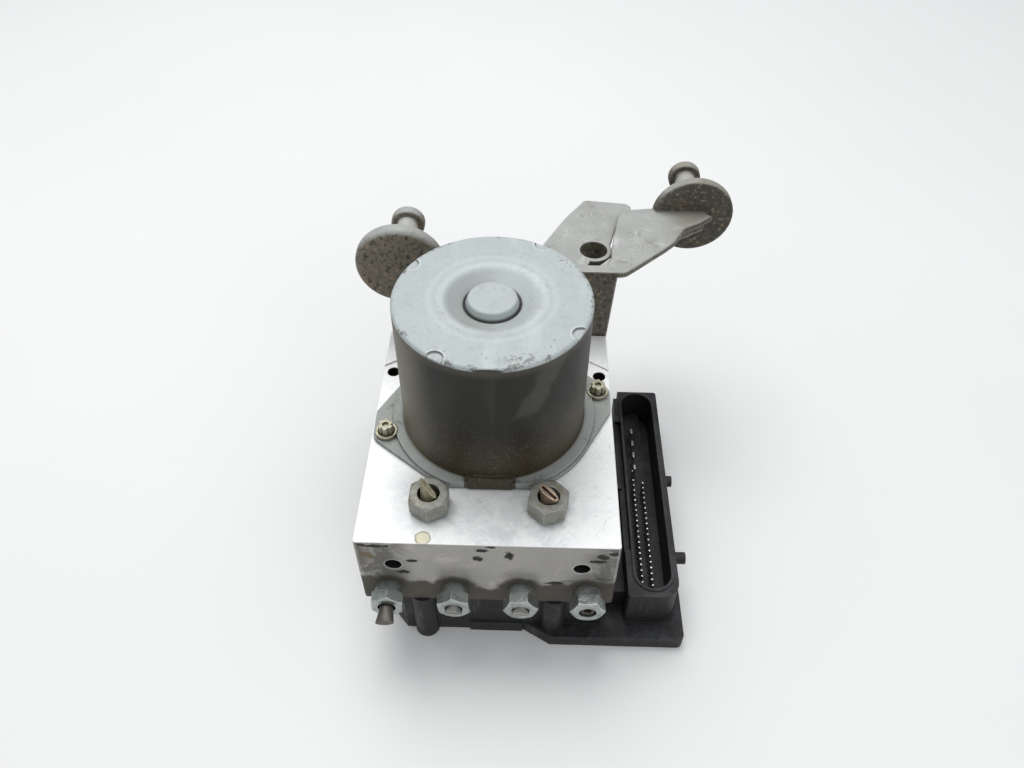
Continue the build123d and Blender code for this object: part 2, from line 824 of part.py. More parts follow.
def motor_shaft():
    """Stepped shaft that ends in the eccentric journal of the pump."""
    journal_top = pump_z + eccentric_width / 2
    shoulder = dish_z - motor_wall - top_bush_length
    shaft_end = pocket_top - shaft_end_gap
    shaft = turned(
        [(0, journal_top), (shaft_radius, journal_top), (shaft_radius, shoulder),
         (shaft_top_radius, shoulder + shaft_chamfer), (shaft_top_radius, shaft_end), (0, shaft_end)],
        (0, motor_y, 0),
    )
    shaft += rod(eccentric_radius, eccentric_width, (eccentric_throw, motor_y, pump_z - eccentric_width / 2))
    return shaft


def eccentric_bearing():
    """Needle ring that runs on the eccentric journal and pushes the pistons."""
    ring = Circle(needle_ring_radius) - Circle(eccentric_radius + seat_gap)
    return Pos(eccentric_throw, motor_y, 0) * plate(
        ring, pump_z - eccentric_width / 2, pump_z + eccentric_width / 2
    )


def commutator():
    """Slotted copper barrel with its riser."""
    riser = commutator_radius + riser_width
    base = seat_z + commutator_base
    top = base + commutator_length
    inner = shaft_radius + seat_gap
    barrel = turned(
        [(inner, base), (commutator_radius, base), (commutator_radius, top), (riser, top),
         (riser, top + riser_height),
         (inner, top + riser_height)],
        (0, motor_y, 0),
    )
    half = commutator_slot / 2
    slot = slab(commutator_radius, riser + cut_past, -half, half, top, top + riser_height)
    for i in range(slot_count):
        barrel -= Pos(0, motor_y, 0) * Rot(0, 0, (i + 0.5) * 360 / slot_count) * slot
    return barrel


def top_bearing():
    """Sintered bush in the can's boss."""
    ring = Circle(top_bush_radius) - Circle(shaft_top_radius + running_gap)
    return Pos(0, motor_y, 0) * plate(ring, pocket_top - top_bush_length, pocket_top)


def main_bearing():
    """Ball bearing in the end plate's hub, with the groove between its rings."""
    inner = shaft_radius + running_gap
    outer = main_bearing_radius
    top = seat_z - face_gap
    base = top - main_bearing_width
    groove_in = inner + bearing_ring_width
    groove_out = outer - bearing_ring_width
    floor = base + bearing_groove_depth
    ceiling = top - bearing_groove_depth
    return turned(
        [(inner, base), (groove_in, base), (groove_in, floor), (groove_out, floor), (groove_out, base),
         (outer, base),
         (outer, top), (groove_out, top), (groove_out, ceiling), (groove_in, ceiling), (groove_in, top),
         (inner, top)],
        (0, motor_y, 0),
    )


def motor_end_plate():
    """Steel plate that closes the can and holds the main bearing in its hub."""
    hub_inner = main_bearing_radius + seat_gap
    hub_base = seat_z - main_bearing_width - face_gap
    rim = can_inner_radius - glue_gap
    top = seat_z + end_plate_thickness
    end_plate = turned(
        [(hub_inner - hub_lip, top), (hub_inner - hub_lip, seat_z), (hub_inner, seat_z),
         (hub_inner, hub_base),
         (hub_radius, hub_base), (hub_radius, seat_z), (rim, seat_z), (rim, top)],
        (0, motor_y, 0),
    )
    return end_plate - rod(lead_sleeve_radius + seat_gap, end_plate_thickness, (0, lead_y, seat_z))


def brush_holder():
    """Moulded plate with a guide box for each brush."""
    base = seat_z + end_plate_thickness
    top = base + brush_plate_thickness
    outline = Pos(0, motor_y) * (
        Circle(can_inner_radius - brush_plate_gap) - Circle(commutator_radius + brush_plate_inner_gap)
    )
    holder = plate(outline, base, top)
    inner = commutator_radius + brush_box_gap
    outer = inner + brush_length
    wall = brush_box_wall
    half = brush_width / 2 + glue_gap
    for turn in (0, 180):
        box = slab(inner, outer, -half - wall, half + wall, top, top + brush_height + wall)
        box -= slab(inner, outer, -half, half, top, top + brush_height + glue_gap)
        holder += Pos(0, motor_y, 0) * Rot(0, 0, turn) * box
    holder -= rod(lead_sleeve_radius + seat_gap, brush_plate_thickness + cut_past, (0, lead_y, base))
    return holder


def brushes():
    """Two carbon brushes with faces hollowed to the commutator."""
    base = seat_z + end_plate_thickness + brush_plate_thickness
    top = base + brush_height
    half = brush_width / 2
    bar = slab(0, commutator_radius + brush_length - brush_box_tail, -half, half, base, top)
    bar -= rod(commutator_radius + running_gap, brush_height, (0, 0, base))
    return group(Pos(0, motor_y, 0) * Rot(0, 0, turn) * bar for turn in (0, 180))


def motor_lead_carrier():
    """Plastic stem that takes the two motor leads through the block to the circuit board."""
    top = seat_z + end_plate_thickness + brush_plate_thickness
    stem = rod(lead_sleeve_radius, top - floor_top, (0, lead_y, floor_top))
    for lead in lead_blocks():
        stem -= lead
    return stem


def lead_blocks():
    """The two flat leads side by side, as boxes from the board to the brush plate."""
    base = board_top
    top = seat_z + end_plate_thickness + brush_plate_thickness + lead_rise
    half_x = lead_width / 2
    half_y = lead_thickness / 2
    xs = [-lead_spacing / 2, lead_spacing / 2]
    return [slab(x - half_x, x + half_x, lead_y - half_y, lead_y + half_y, base, top) for x in xs]


def motor_leads():
    return group(lead_blocks())


# ---- Pump elements ----
def piston_start():
    """Where a piston's inner end waits, just clear of the eccentric's ring."""
    return needle_ring_radius + eccentric_throw + piston_stand_off


def pump_pistons():
    end = piston_start()
    return group(
        rod(piston_radius, piston_length, (side * end, motor_y, pump_z), facing)
        for side, facing in ((-1, "left"), (1, "right"))
    )


def plug_inner_x():
    return block_width / 2 - plug_recess - plug_length


def pump_cylinders():
    """Pressed-in sleeves in which the pistons run."""
    length = plug_inner_x() - plug_nose_length - cylinder_inner_end
    sleeve = Circle(cylinder_radius) - Circle(piston_radius + running_gap)
    return group(
        Pos(side * cylinder_inner_end, motor_y, pump_z) * FACING[facing] * plate(sleeve, 0, length)
        for side, facing in ((-1, "left"), (1, "right"))
    )


def pump_springs():
    """Return springs between each piston and its plug."""
    start = piston_start() + piston_length
    length = plug_inner_x() - plug_nose_length - start
    radius = piston_radius - pump_wire
    return group(
        helix_spring(radius, pump_wire, length, pump_spring_turns, (side * start, motor_y, pump_z), facing)
        for side, facing in ((-1, "left"), (1, "right"))
    )


def pump_plugs():
    """Screwed plugs with a hex socket, a little below the block's sides."""
    nose_radius = cylinder_radius - plug_nose_relief
    plug = turned(
        [(0, -plug_nose_length), (nose_radius, -plug_nose_length), (nose_radius, 0), (plug_radius, 0),
         (plug_radius, plug_length), (0, plug_length)],
        (0, 0, 0),
    )
    socket = RegularPolygon(plug_hex / 2, 6, major_radius=False)
    plug -= plate(socket, plug_length - plug_hex_depth, plug_length)
    return group(
        Pos(side * plug_inner_x(), motor_y, pump_z) * FACING[facing] * plug
        for side, facing in ((-1, "left"), (1, "right"))
    )


# ---- Accumulators ----
def accumulator_floor_y():
    return back_y - accumulator_depth + glue_gap


def accumulator_piston(place):
    """Cup piston that the brake fluid pushes back against its spring."""
    r = accumulator_radius - running_gap
    inner = r - accumulator_piston_wall
    length = accumulator_piston_length
    cup = [
        (0, 0), (r, 0), (r, length), (inner, length), (inner, accumulator_piston_wall),
        (0, accumulator_piston_wall)
    ]
    return turned(cup, (accumulator_xs[place], accumulator_floor_y(), accumulator_z), "back")


def accumulator_spring(place):
    start = accumulator_floor_y() + accumulator_piston_wall
    length = back_y - accumulator_cap_length - start
    radius = accumulator_radius - accumulator_piston_wall - accumulator_wire
    return helix_spring(
        radius, accumulator_wire, length, accumulator_turns, (accumulator_xs[place], start, accumulator_z),
        "back",
    )


def accumulator_caps():
    """Pressed-in caps with a breather hole."""
    r = accumulator_radius - seat_gap
    length = accumulator_cap_length
    recess = length - accumulator_cap_floor
    rim = r - accumulator_cap_rim
    cap = [
        (accumulator_breather, 0), (r, 0), (r, length), (rim, length), (rim, recess),
        (accumulator_breather, recess),
    ]
    return group(turned(cap, (x, back_y - length, accumulator_z), "back") for x in accumulator_xs)


# ---- Valves and coils ----
def valves():
    """Sealed solenoid cartridges: sleeve in the block, dome that reaches down through a coil."""
    top = unit_height + valve_bore_depth - valve_end_gap
    collar = valve_bore_radius - seat_gap
    collar_top = unit_height + valve_collar_length
    base = unit_height - valve_dome_length
    cartridge = [
        (0, base), (valve_dome_radius - valve_tip_chamfer, base),
        (valve_dome_radius, base + valve_tip_chamfer),
        (valve_dome_radius, unit_height), (collar, unit_height), (collar, collar_top),
        (valve_sleeve_radius, collar_top),
        (valve_sleeve_radius, top), (0, top),
    ]
    body = turned(cartridge, (0, 0, 0))
    return group(Pos(x, y, 0) * body for x, y in valve_spots)


def valve_coils():
    """Ring coils that stand on the unit's floor over its windows, each with two leads to the board."""
    coil = plate(Circle(coil_radius) - Circle(coil_bore_radius), floor_top, floor_top + coil_height)
    lead_x = (coil_bore_radius + coil_window_radius) / 2
    half = coil_lead / 2
    for side in (-1, 1):
        x = side * lead_x
        coil += slab(x - half, x + half, -half, half, board_top, floor_top)
    return group(Pos(x, y, 0) * coil for x, y in valve_spots)


# ---- Electronic control unit ----
def case_outline():
    """Upper body under the valve block, with the front left corner cut away."""
    return Polygon(
        (-case_half_width, case_front + nose_depth), (unit_left + nose_cut, case_front),
        (case_half_width, case_front),
        (case_half_width, case_back), (-case_half_width, case_back), align=None,
    )


def base_outline():
    """Base flange: cut nose, shallow band between the front towers, and a wide ledge round the connector."""
    band_front = front_y + band_setback
    band_left = band_offset - band_half_width
    band_right = band_offset + band_half_width
    slope = case_front - band_front
    ledge_start = tower_spots[1][0] - slope
    outline = Polygon(
        (unit_left, case_front + nose_depth), (unit_left + nose_cut, case_front),
        (band_left - slope / 2, case_front),
        (band_left, band_front), (band_right, band_front), (band_right + slope / 2, case_front),
        (ledge_start, base_front), (base_right, base_front), (base_right, base_back),
        (unit_left, base_back), align=None,
    )
    corners = [(base_right, base_front), (base_right, base_back), (unit_left, base_back)]
    outline = rounded(outline, corners, corner_radius)
    for spot in tower_spots:
        outline += Pos(*spot) * Circle(tower_radius)
    return outline


def flat_box(x0, x1, y0, y1):
    """A rectangle in plan between two corners."""
    return Pos((x0 + x1) / 2, (y0 + y1) / 2) * Rectangle(x1 - x0, y1 - y0)


def chamber_outline(shrink):
    """Inside of the coil chamber at a distance from its outer face: it also goes round the screw towers."""
    outline = offset(case_outline(), amount=-shrink, kind=Kind.INTERSECTION)
    for spot in tower_spots:
        outline -= Pos(*spot) * Circle(tower_radius + shrink)
    return outline


def board_space(inset=0.0):
    """Plan of the room for the circuit board, under the case, the deck and the connector."""
    wall = case_wall + inset
    space = offset(case_outline(), amount=-wall, kind=Kind.INTERSECTION)
    space += flat_box(0, shroud_left + wall + 1, deck_front + wall, case_back - wall)
    space += flat_box(shroud_left + wall, shroud_right - wall, shroud_front + wall, shroud_back - wall)
    for spot in tower_spots:
        space -= Pos(*spot) * Circle(tower_radius + inset)
    return space


def shroud_outline():
    """Outside of the connector: a long box with a large round at its front right corner."""
    outline = flat_box(shroud_left, shroud_right, shroud_front, shroud_back)
    outline = rounded(outline, [(shroud_right, shroud_front)], shroud_nose_radius)
    rest = [(shroud_left, shroud_front), (shroud_left, shroud_back), (shroud_right, shroud_back)]
    return rounded(outline, rest, shroud_corner)


def cavity_outline(grow=0.0):
    """Long oval of the connector's opening."""
    return Pos(cavity_x, cavity_y) * SlotOverall(
        cavity_length + 2 * grow, cavity_width + 2 * grow, rotation=90
    )


def contact_blocks():
    """Square contacts in two staggered rows and one apart, as boxes from the board to their tips."""
    half = pin_section / 2
    left_x = cavity_x - row_shift - pin_row_spacing / 2
    right_x = left_x + pin_row_spacing
    spots = []
    for i in range(pins_per_row):
        spots.append((left_x, first_pin_y + i * pin_pitch))
        spots.append((right_x, first_pin_y + (i - 0.5) * pin_pitch))
    spots.append((left_x, last_pin_y + 2 * pin_pitch))
    return [slab(x - half, x + half, y - half, y + half, board_top, pin_top) for x, y in spots]


def blade_blocks():
    """Broad contacts behind the rows."""
    x = cavity_x - row_shift - pin_row_spacing / 2 + blade_shift
    ys = [last_pin_y + blade_start + i * blade_pitch for i in range(blade_count)]
    half_x = blade_thickness / 2
    half_y = blade_width / 2
    return [slab(x - half_x, x + half_x, y - half_y, y + half_y, board_top, pin_top) for y in ys]


def connector_shroud():
    """The connector's walls with lip, stepped left land, lever pegs, side rail and rear notch."""
    top = shroud_top
    shroud = plate(shroud_outline(), cover_thickness, top)
    shroud += plate(cavity_outline(lip_width), top - overlap, top + lip_rise)
    land_y = shroud_front + land_length
    rail_y = shroud_front + rail_start
    step_x = cavity_x - cavity_width / 2 - lip_width
    shroud -= slab(shroud_left - cut_past, step_x, land_y, rail_y + rail_length, top - land_drop, top + cut_past)
    rail = slab(
        shroud_left - rail_rise, shroud_left + overlap, rail_y, rail_y + rail_length, ledge_height, top - rail_drop
    )
    shroud += rail
    notch_y = shroud_back - rear_notch_length
    notch_x = shroud_left + rear_notch_width
    notch_end = shroud_back + cut_past
    shroud -= slab(shroud_left - cut_past, notch_x, notch_y, notch_end, ledge_height, top + cut_past)
    for place, reach in zip(peg_positions, peg_reaches):
        peg_y = shroud_front + place
        shroud += rod(peg_radius, reach + overlap, (shroud_right - overlap, peg_y, top - peg_radius), "right")
    return shroud


def ecu_housing():
    """Moulded frame: base flange, coil chamber with its floor, screw towers, deck and connector."""
    rim = unit_height - seal_thickness
    housing = plate(base_outline(), cover_thickness, ledge_height)
    housing += plate(case_outline(), cover_thickness, rim)
    housing -= plate(chamber_outline(case_wall), floor_top, rim)
    housing += slab(
        case_half_width - overlap, shroud_left + overlap, deck_front, case_back, cover_thickness, deck_top
    )
    housing += connector_shroud()
    housing -= plate(board_space(), cover_thickness, floor_base)
    cavity = cavity_outline()
    island = flat_box(shroud_left, cavity_x + island_edge, shroud_front, shroud_back)
    housing -= plate(cavity, floor_top + island_rise, shroud_top + lip_rise)
    housing -= plate(cavity - island, floor_top, floor_top + island_rise)
    half_wall = case_wall / 2
    web_top = rim - tower_web_drop
    for x, y in tower_spots:
        housing += rod(tower_radius, unit_height - cover_thickness, (x, y, cover_thickness))
        if y > 0:
            housing += slab(x - half_wall, x + half_wall, case_back - overlap, y, ledge_height - overlap, web_top)
    for x, y in tower_spots:
        housing -= rod(tower_bore_radius, unit_height, (x, y, cover_thickness))
        housing -= rod(unit_screw_head + glue_gap, screw_seat_z() - cover_thickness, (x, y, cover_thickness))
    for x, y in valve_spots:
        housing -= rod(coil_window_radius, floor_thickness, (x, y, floor_base))
    for x, y in board_posts():
        housing += rod(post_radius, floor_base - board_top, (x, y, board_top))
    for block in contact_blocks() + blade_blocks() + lead_blocks():
        housing -= block
    return housing


def screw_seat_z():
    return unit_screw_sink + unit_screw_head_height


def board_posts():
    """Stand-offs between the coils that carry the board."""
    half_x = (valve_xs[-1] - valve_xs[0]) / 2 - valve_pitch_x / 2
    ys = [valve_ys[0] + valve_pitch_y / 2, valve_ys[-1] - valve_pitch_y / 2]
    return [(x, y) for x in (-half_x, half_x) for y in ys]


def circuit_board():
    return plate(board_space(board_gap), board_base, board_top)


def ecu_cover():
    """Flat bottom cover with a hole for each screw head."""
    cover = plate(base_outline(), 0, cover_thickness)
    for x, y in tower_spots:
        cover -= rod(unit_screw_head + glue_gap, cover_thickness, (x, y, 0))
    return cover


def ecu_seal():
    """Gasket on the case's rim, inside the screws."""
    ring = chamber_outline(seal_inset) - chamber_outline(case_wall - seal_inset)
    return plate(ring, unit_height - seal_thickness, unit_height)


def ecu_screws():
    """Long screws from below, through the towers into the block."""
    seat = screw_seat_z()
    r = unit_screw_radius
    top = unit_height + unit_screw_grip
    socket_top = unit_screw_sink + unit_screw_socket_depth
    profile = [
        (0, socket_top), (unit_screw_socket, socket_top), (unit_screw_socket, unit_screw_sink),
        (unit_screw_head, unit_screw_sink), (unit_screw_head, seat), (r, seat), (r, top - screw_point), (0, top),
    ]
    screw = turned(profile, (0, 0, 0))
    return group(Pos(x, y, 0) * screw for x, y in tower_spots)


# ---- Bracket ----
def wall(outline, y0, y1):
    """An outline drawn as seen from the front, given depth from one Y to another."""
    return Pos(0, y1, 0) * extrude(Plane.XZ * outline, amount=y1 - y0)


def bobbin_disc(x, y, radius, thickness, rim_round):
    """Round cushion disc with rounded rim and, behind it, a flared neck with a bobbin head."""
    neck_end = bobbin_end
    end = neck_end + bobbin_head_length
    r = bobbin_neck_radius
    profile = Polygon(
        (0, 0), (radius, 0), (radius, thickness), (r + bobbin_flare, thickness),
        (r, thickness + bobbin_flare),
        (r, neck_end), (bobbin_head_radius, neck_end), (bobbin_head_radius, end), (0, end), align=None,
    )
    profile = rounded(profile, [(radius, 0)], rim_round)
    profile = rounded(profile, [(radius, thickness)], rim_round / 2)
    profile = rounded(
        profile, [(bobbin_head_radius, neck_end), (bobbin_head_radius, end)], bobbin_head_length / 4
    )
    return Pos(x, y, pin_height) * FACING["back"] * revolve(Plane.XZ * profile, Axis.Z)


def shifted(points, x, y):
    """Plan points moved to where they are measured from."""
    return [(x + dx, y + dy) for dx, dy in points]


def bracket_arm():
    """Flat arm from the web's right end that narrows to a tongue on the front of the right disc."""
    root = shifted(arm_root, block_width / 2, back_y)
    tongue = shifted(arm_tongue, right_disc_x, right_disc_y)
    rear = shifted(arm_rear, block_width / 2, back_y)
    outline = Polygon(root + tongue + rear, align=None)
    outline = rounded(outline, root[1:], arm_front_round)
    outline = rounded(outline, [tongue[2], rear[0]], arm_rear_round)
    arm = plate(outline, plate_top - plate_thickness, plate_top)
    return fillet(arm.faces().sort_by(Axis.Z)[-1].edges(), plate_round)


def bracket_ribs():
    """Upright rib along the arm's underside, and a gusset that carries the tongue on the disc."""
    start_x = block_width / 2 - rib_start
    start_y = back_y + web_thickness
    run_x = right_disc_x - rib_end - start_x
    run_y = right_disc_y + right_disc_thickness / 2 - start_y
    turn = math.degrees(math.atan2(run_y, run_x))
    place = Pos(start_x + run_x / 2, start_y + run_y / 2) * Rot(0, 0, turn)
    rib = place * Rectangle(math.hypot(run_x, run_y), rib_thickness)
    underside = plate_top - plate_thickness
    gusset = Polygon(shifted(gusset_points, right_disc_x, right_disc_y), align=None)
    return plate(rib, underside - rib_depth, underside + overlap) + plate(
        gusset, underside - gusset_depth, underside + overlap
    )


def bracket_tab():
    """Lower tab behind the web, with the upright boss at its root."""
    top = plate_top - tab_drop
    front = shifted(tab_points, bracket_boss_x, bracket_boss_y)
    rear = shifted(tab_rear, bracket_boss_x, bracket_boss_y)
    outline = rounded(Polygon(front + rear, align=None), front[-3:], tab_round)
    tab = plate(outline, top - plate_thickness, top)
    return tab + rod(
        bracket_boss_radius, bracket_boss_height, (bracket_boss_x, bracket_boss_y, top - bracket_boss_height)
    )


def bracket_web():
    """Upright web on the block's back face, with a window, bolt pads and the link to the left disc."""
    side = block_width / 2
    foot = unit_height + web_foot_drop
    left = left_disc_x
    back = back_y + web_thickness
    outline = Polygon(
        (web_inset - side, foot), (side - web_inset, foot), (side, seat_z),
        (side + web_top_overhang, plate_top),
        (left + web_top_reach, plate_top), (left + web_shoulder_reach, pin_height - web_shoulder_drop),
        (left + web_link_reach, pin_height - web_link_drop), (left + web_link_reach, seat_z + web_link_reach),
        (web_inset - side, seat_z - web_left_drop), align=None,
    )
    sill = seat_z + window_rise
    head = plate_top - window_drop
    corners = [
        (left + window_left, sill), (side - window_right, sill), (side - window_top_right, head),
        (left + window_top_left, head),
    ]
    window = rounded(Polygon(corners, align=None), corners, window_round)
    web = wall(outline - window, back_y, back)
    link = flat_box(left, left + link_reach, pin_height - link_below, pin_height + link_above)
    web += wall(link, left_disc_y, left_disc_y + left_disc_thickness)
    block = flat_box(left + link_reach - link_block, left + link_reach, sill, plate_top)
    web += wall(block, back_y, left_disc_y + left_disc_thickness)
    for x, z in bracket_bolts:
        web += rod(bracket_pad_radius, web_thickness + bracket_pad_height, (x, back_y, z), "back")
    return web


def bracket():
    """One casting: web, left disc, arm to the right disc, tab with its boss, and the ribs below."""
    casting = bracket_web() + bracket_arm() + bracket_tab() + bracket_ribs()
    casting += bobbin_disc(left_disc_x, left_disc_y, left_disc_radius, left_disc_thickness, left_disc_round)
    casting += bobbin_disc(
        right_disc_x, right_disc_y, right_disc_radius, right_disc_thickness, right_disc_round
    )
    bore_depth = bracket_boss_height + tab_drop + cut_past
    boss_base = plate_top - tab_drop - bracket_boss_height
    casting -= rod(bracket_boss_bore, bore_depth, (bracket_boss_x, bracket_boss_y, boss_base))
    for x, z in bracket_bolts:
        depth = web_thickness + bracket_pad_height
        casting -= rod(bracket_bolt_radius + bolt_hole_gap, depth, (x, back_y, z), "back")
    for x in accumulator_xs:
        casting -= rod(breather_radius, web_thickness, (x, back_y, accumulator_z), "back")
    return casting


def bracket_screws():
    """Flange-headed hex bolts through the pads into the block's back."""
    seat = web_thickness + bracket_pad_height
    r = bracket_bolt_radius
    end = -bracket_bolt_depth
    flange_top = seat + bolt_washer
    profile = [
        (0, end), (r - screw_point, end), (r, end + screw_point), (r, seat), (bracket_bolt_flange, seat),
        (bracket_bolt_flange, seat + bolt_washer_rim), (bracket_bolt_head, flange_top), (0, flange_top),
    ]
    hexagon = RegularPolygon(bracket_bolt_head, 6, major_radius=False)
    bolt = turned(profile, (0, 0, 0)) + plate(hexagon, flange_top, flange_top + bracket_bolt_head_height)
    return group(Pos(x, back_y, z) * FACING["back"] * bolt for x, z in bracket_bolts)


# ---- All sub-parts ----
PARTS = {
    "hydraulic_block": hydraulic_block,
    "gallery_plugs": gallery_plugs,
    "mc_tube_nuts": mc_tube_nuts,
    "mc_pipe_left": lambda: mc_pipe(0),
    "mc_pipe_right": lambda: open_mc_pipe(1),
    "wheel_tube_nuts": wheel_tube_nuts,
    "wheel_pipe_1": lambda: wheel_pipe_stub(0),
    "wheel_pipe_2": lambda: wheel_pipe_stub(1),
    "wheel_pipe_3": lambda: wheel_pipe_stub(2),
    "wheel_pipe_4": lambda: wheel_pipe_stub(3),
    "motor_housing": motor_housing,
    "motor_screws": motor_screws,
    "motor_seal": motor_seal,
    "motor_magnets": motor_magnets,
    "armature_core": armature_core,
    "armature_winding": armature_winding,
    "motor_shaft": motor_shaft,
    "eccentric_bearing": eccentric_bearing,
    "commutator": commutator,
    "top_bearing": top_bearing,
    "main_bearing": main_bearing,
    "motor_end_plate": motor_end_plate,
    "brush_holder": brush_holder,
    "brushes": brushes,
    "motor_lead_carrier": motor_lead_carrier,
    "motor_leads": motor_leads,
    "pump_pistons": pump_pistons,
    "pump_cylinders": pump_cylinders,
    "pump_springs": pump_springs,
    "pump_plugs": pump_plugs,
    "accumulator_piston_left": lambda: accumulator_piston(0),
    "accumulator_piston_right": lambda: accumulator_piston(1),
    "accumulator_spring_left": lambda: accumulator_spring(0),
    "accumulator_spring_right": lambda: accumulator_spring(1),
    "accumulator_caps": accumulator_caps,
    "valves": valves,
    "valve_coils": valve_coils,
    "ecu_housing": ecu_housing,
    "circuit_board": circuit_board,
    "ecu_cover": ecu_cover,
    "ecu_seal": ecu_seal,
    "ecu_screws": ecu_screws,
    "signal_pins": lambda: group(contact_blocks()),
    "power_blades": lambda: group(blade_blocks()),
    "bracket": bracket,
    "bracket_screws": bracket_screws,
}

os.makedirs("parts", exist_ok=True)
for name, build in PARTS.items():
    save(name, build())
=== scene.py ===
import math

import bpy
from mathutils import Matrix, Vector


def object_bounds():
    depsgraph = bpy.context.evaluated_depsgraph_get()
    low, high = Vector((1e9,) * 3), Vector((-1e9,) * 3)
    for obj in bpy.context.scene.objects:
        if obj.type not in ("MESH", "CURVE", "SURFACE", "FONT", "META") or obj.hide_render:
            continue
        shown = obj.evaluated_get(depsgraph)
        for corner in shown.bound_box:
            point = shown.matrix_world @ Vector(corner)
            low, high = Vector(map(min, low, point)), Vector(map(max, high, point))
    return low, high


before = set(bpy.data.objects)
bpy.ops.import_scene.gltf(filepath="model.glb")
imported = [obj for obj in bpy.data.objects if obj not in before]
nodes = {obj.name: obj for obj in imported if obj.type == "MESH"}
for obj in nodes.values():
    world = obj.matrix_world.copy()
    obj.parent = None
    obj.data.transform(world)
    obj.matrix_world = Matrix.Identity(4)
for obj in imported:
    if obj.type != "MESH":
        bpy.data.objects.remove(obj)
cad_low, cad_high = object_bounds()
scene = bpy.context.scene
MM = 0.001

# where the CAD has the features that the paint follows, in metres
BLOCK_TOP = 0.064
BLOCK_FRONT = -0.0515
FRONT_HOLES_X = (-0.0326, 0.0326)
FRONT_HOLES_Z = 0.0505
TOP_HOLES_X = (-0.041, 0.041)
TOP_HOLES_Y = 0.0281
WHEEL_NUTS_X = (-0.0354, -0.0118, 0.0118, 0.0354)
WHEEL_NUTS_Z = 0.035
MOTOR_Y = 0.007
CRIMP_RADIUS = 0.0334
CRIMP_ANGLES = tuple(math.radians(a) for a in (-120.0, -30.0, 60.0, 150.0))
PINS_Y = ((0.0715, 0.0090), (0.1085, 0.0105))  # middle and half length of each bobbin pin's neck
PINS_X = (-0.0389, 0.0810)
PIN_HALF = 0.0048
EJECTOR_MARKS = ((0.0412, 0.0945, 0.003), (0.0534, 0.0693, 0.0038))  # x, y and radius

# dark blots on the block's front: x, z, half width and half height in millimetres
FRONT_BLOTS = (
    (-36.9, 61.8, 5.2, 0.7), (-25.3, 53.2, 2.2, 0.7), (-29.6, 45.9, 2.4, 1.0), (-3.2, 55.4, 2.0, 1.5),
    (-1.9, 60.6, 1.9, 0.9), (1.7, 62.9, 1.8, 0.6), (7.2, 58.0, 1.6, 2.2), (39.5, 58.8, 2.2, 1.6),
    (42.6, 60.4, 2.0, 1.2), (37.8, 55.6, 2.6, 0.9), (-42.2, 62.4, 1.6, 0.7), (23.3, 40.8, 3.0, 0.9),
)

FLOOR_HALF = 3.0
FLOOR_GAP = 0.0002  # keeps the floor clear of the part's flat foot
SKY_TINT = (0.95, 0.97, 1.0, 1.0)
SKY_LEVELS = (0.33, 0.74)  # light at the horizon and from SKY_HIGH upwards
SKY_HIGH = 0.9
BACKDROP = (0.93, 0.93, 0.93, 1.0)  # what the camera sees behind the floor
BACKDROP_LEVEL = 0.9
LAMP_TARGET = (0, 0, 0.05)
FILL_TINT = (0.97, 0.98, 1.0)

# the camera fitted to the photo: its place in millimetres and its axes
CAMERA_AT = Vector((10.97, -201.25, 300.47)) * MM
CAMERA_RIGHT = Vector((0.99962518, 0.02668011, 0.00613837))
CAMERA_DOWN = Vector((0.02358462, -0.72536555, -0.68795973))
CAMERA_AHEAD = Vector((-0.01390228, 0.68784664, -0.7257229))
FOCAL_PIXELS = 825.0
PHOTO_WIDTH = 1024.0
SENSOR_MM = 36.0


# ---------------------------------------------------------------- material helpers
def is_socket(v):
    return isinstance(v, bpy.types.NodeSocket)


def rgb(r, g, b):
    """A screen colour (0-255) as linear values."""
    return tuple(((c / 255 + 0.055) / 1.055) ** 2.4 if c > 10 else c / 255 / 12.92 for c in (r, g, b))


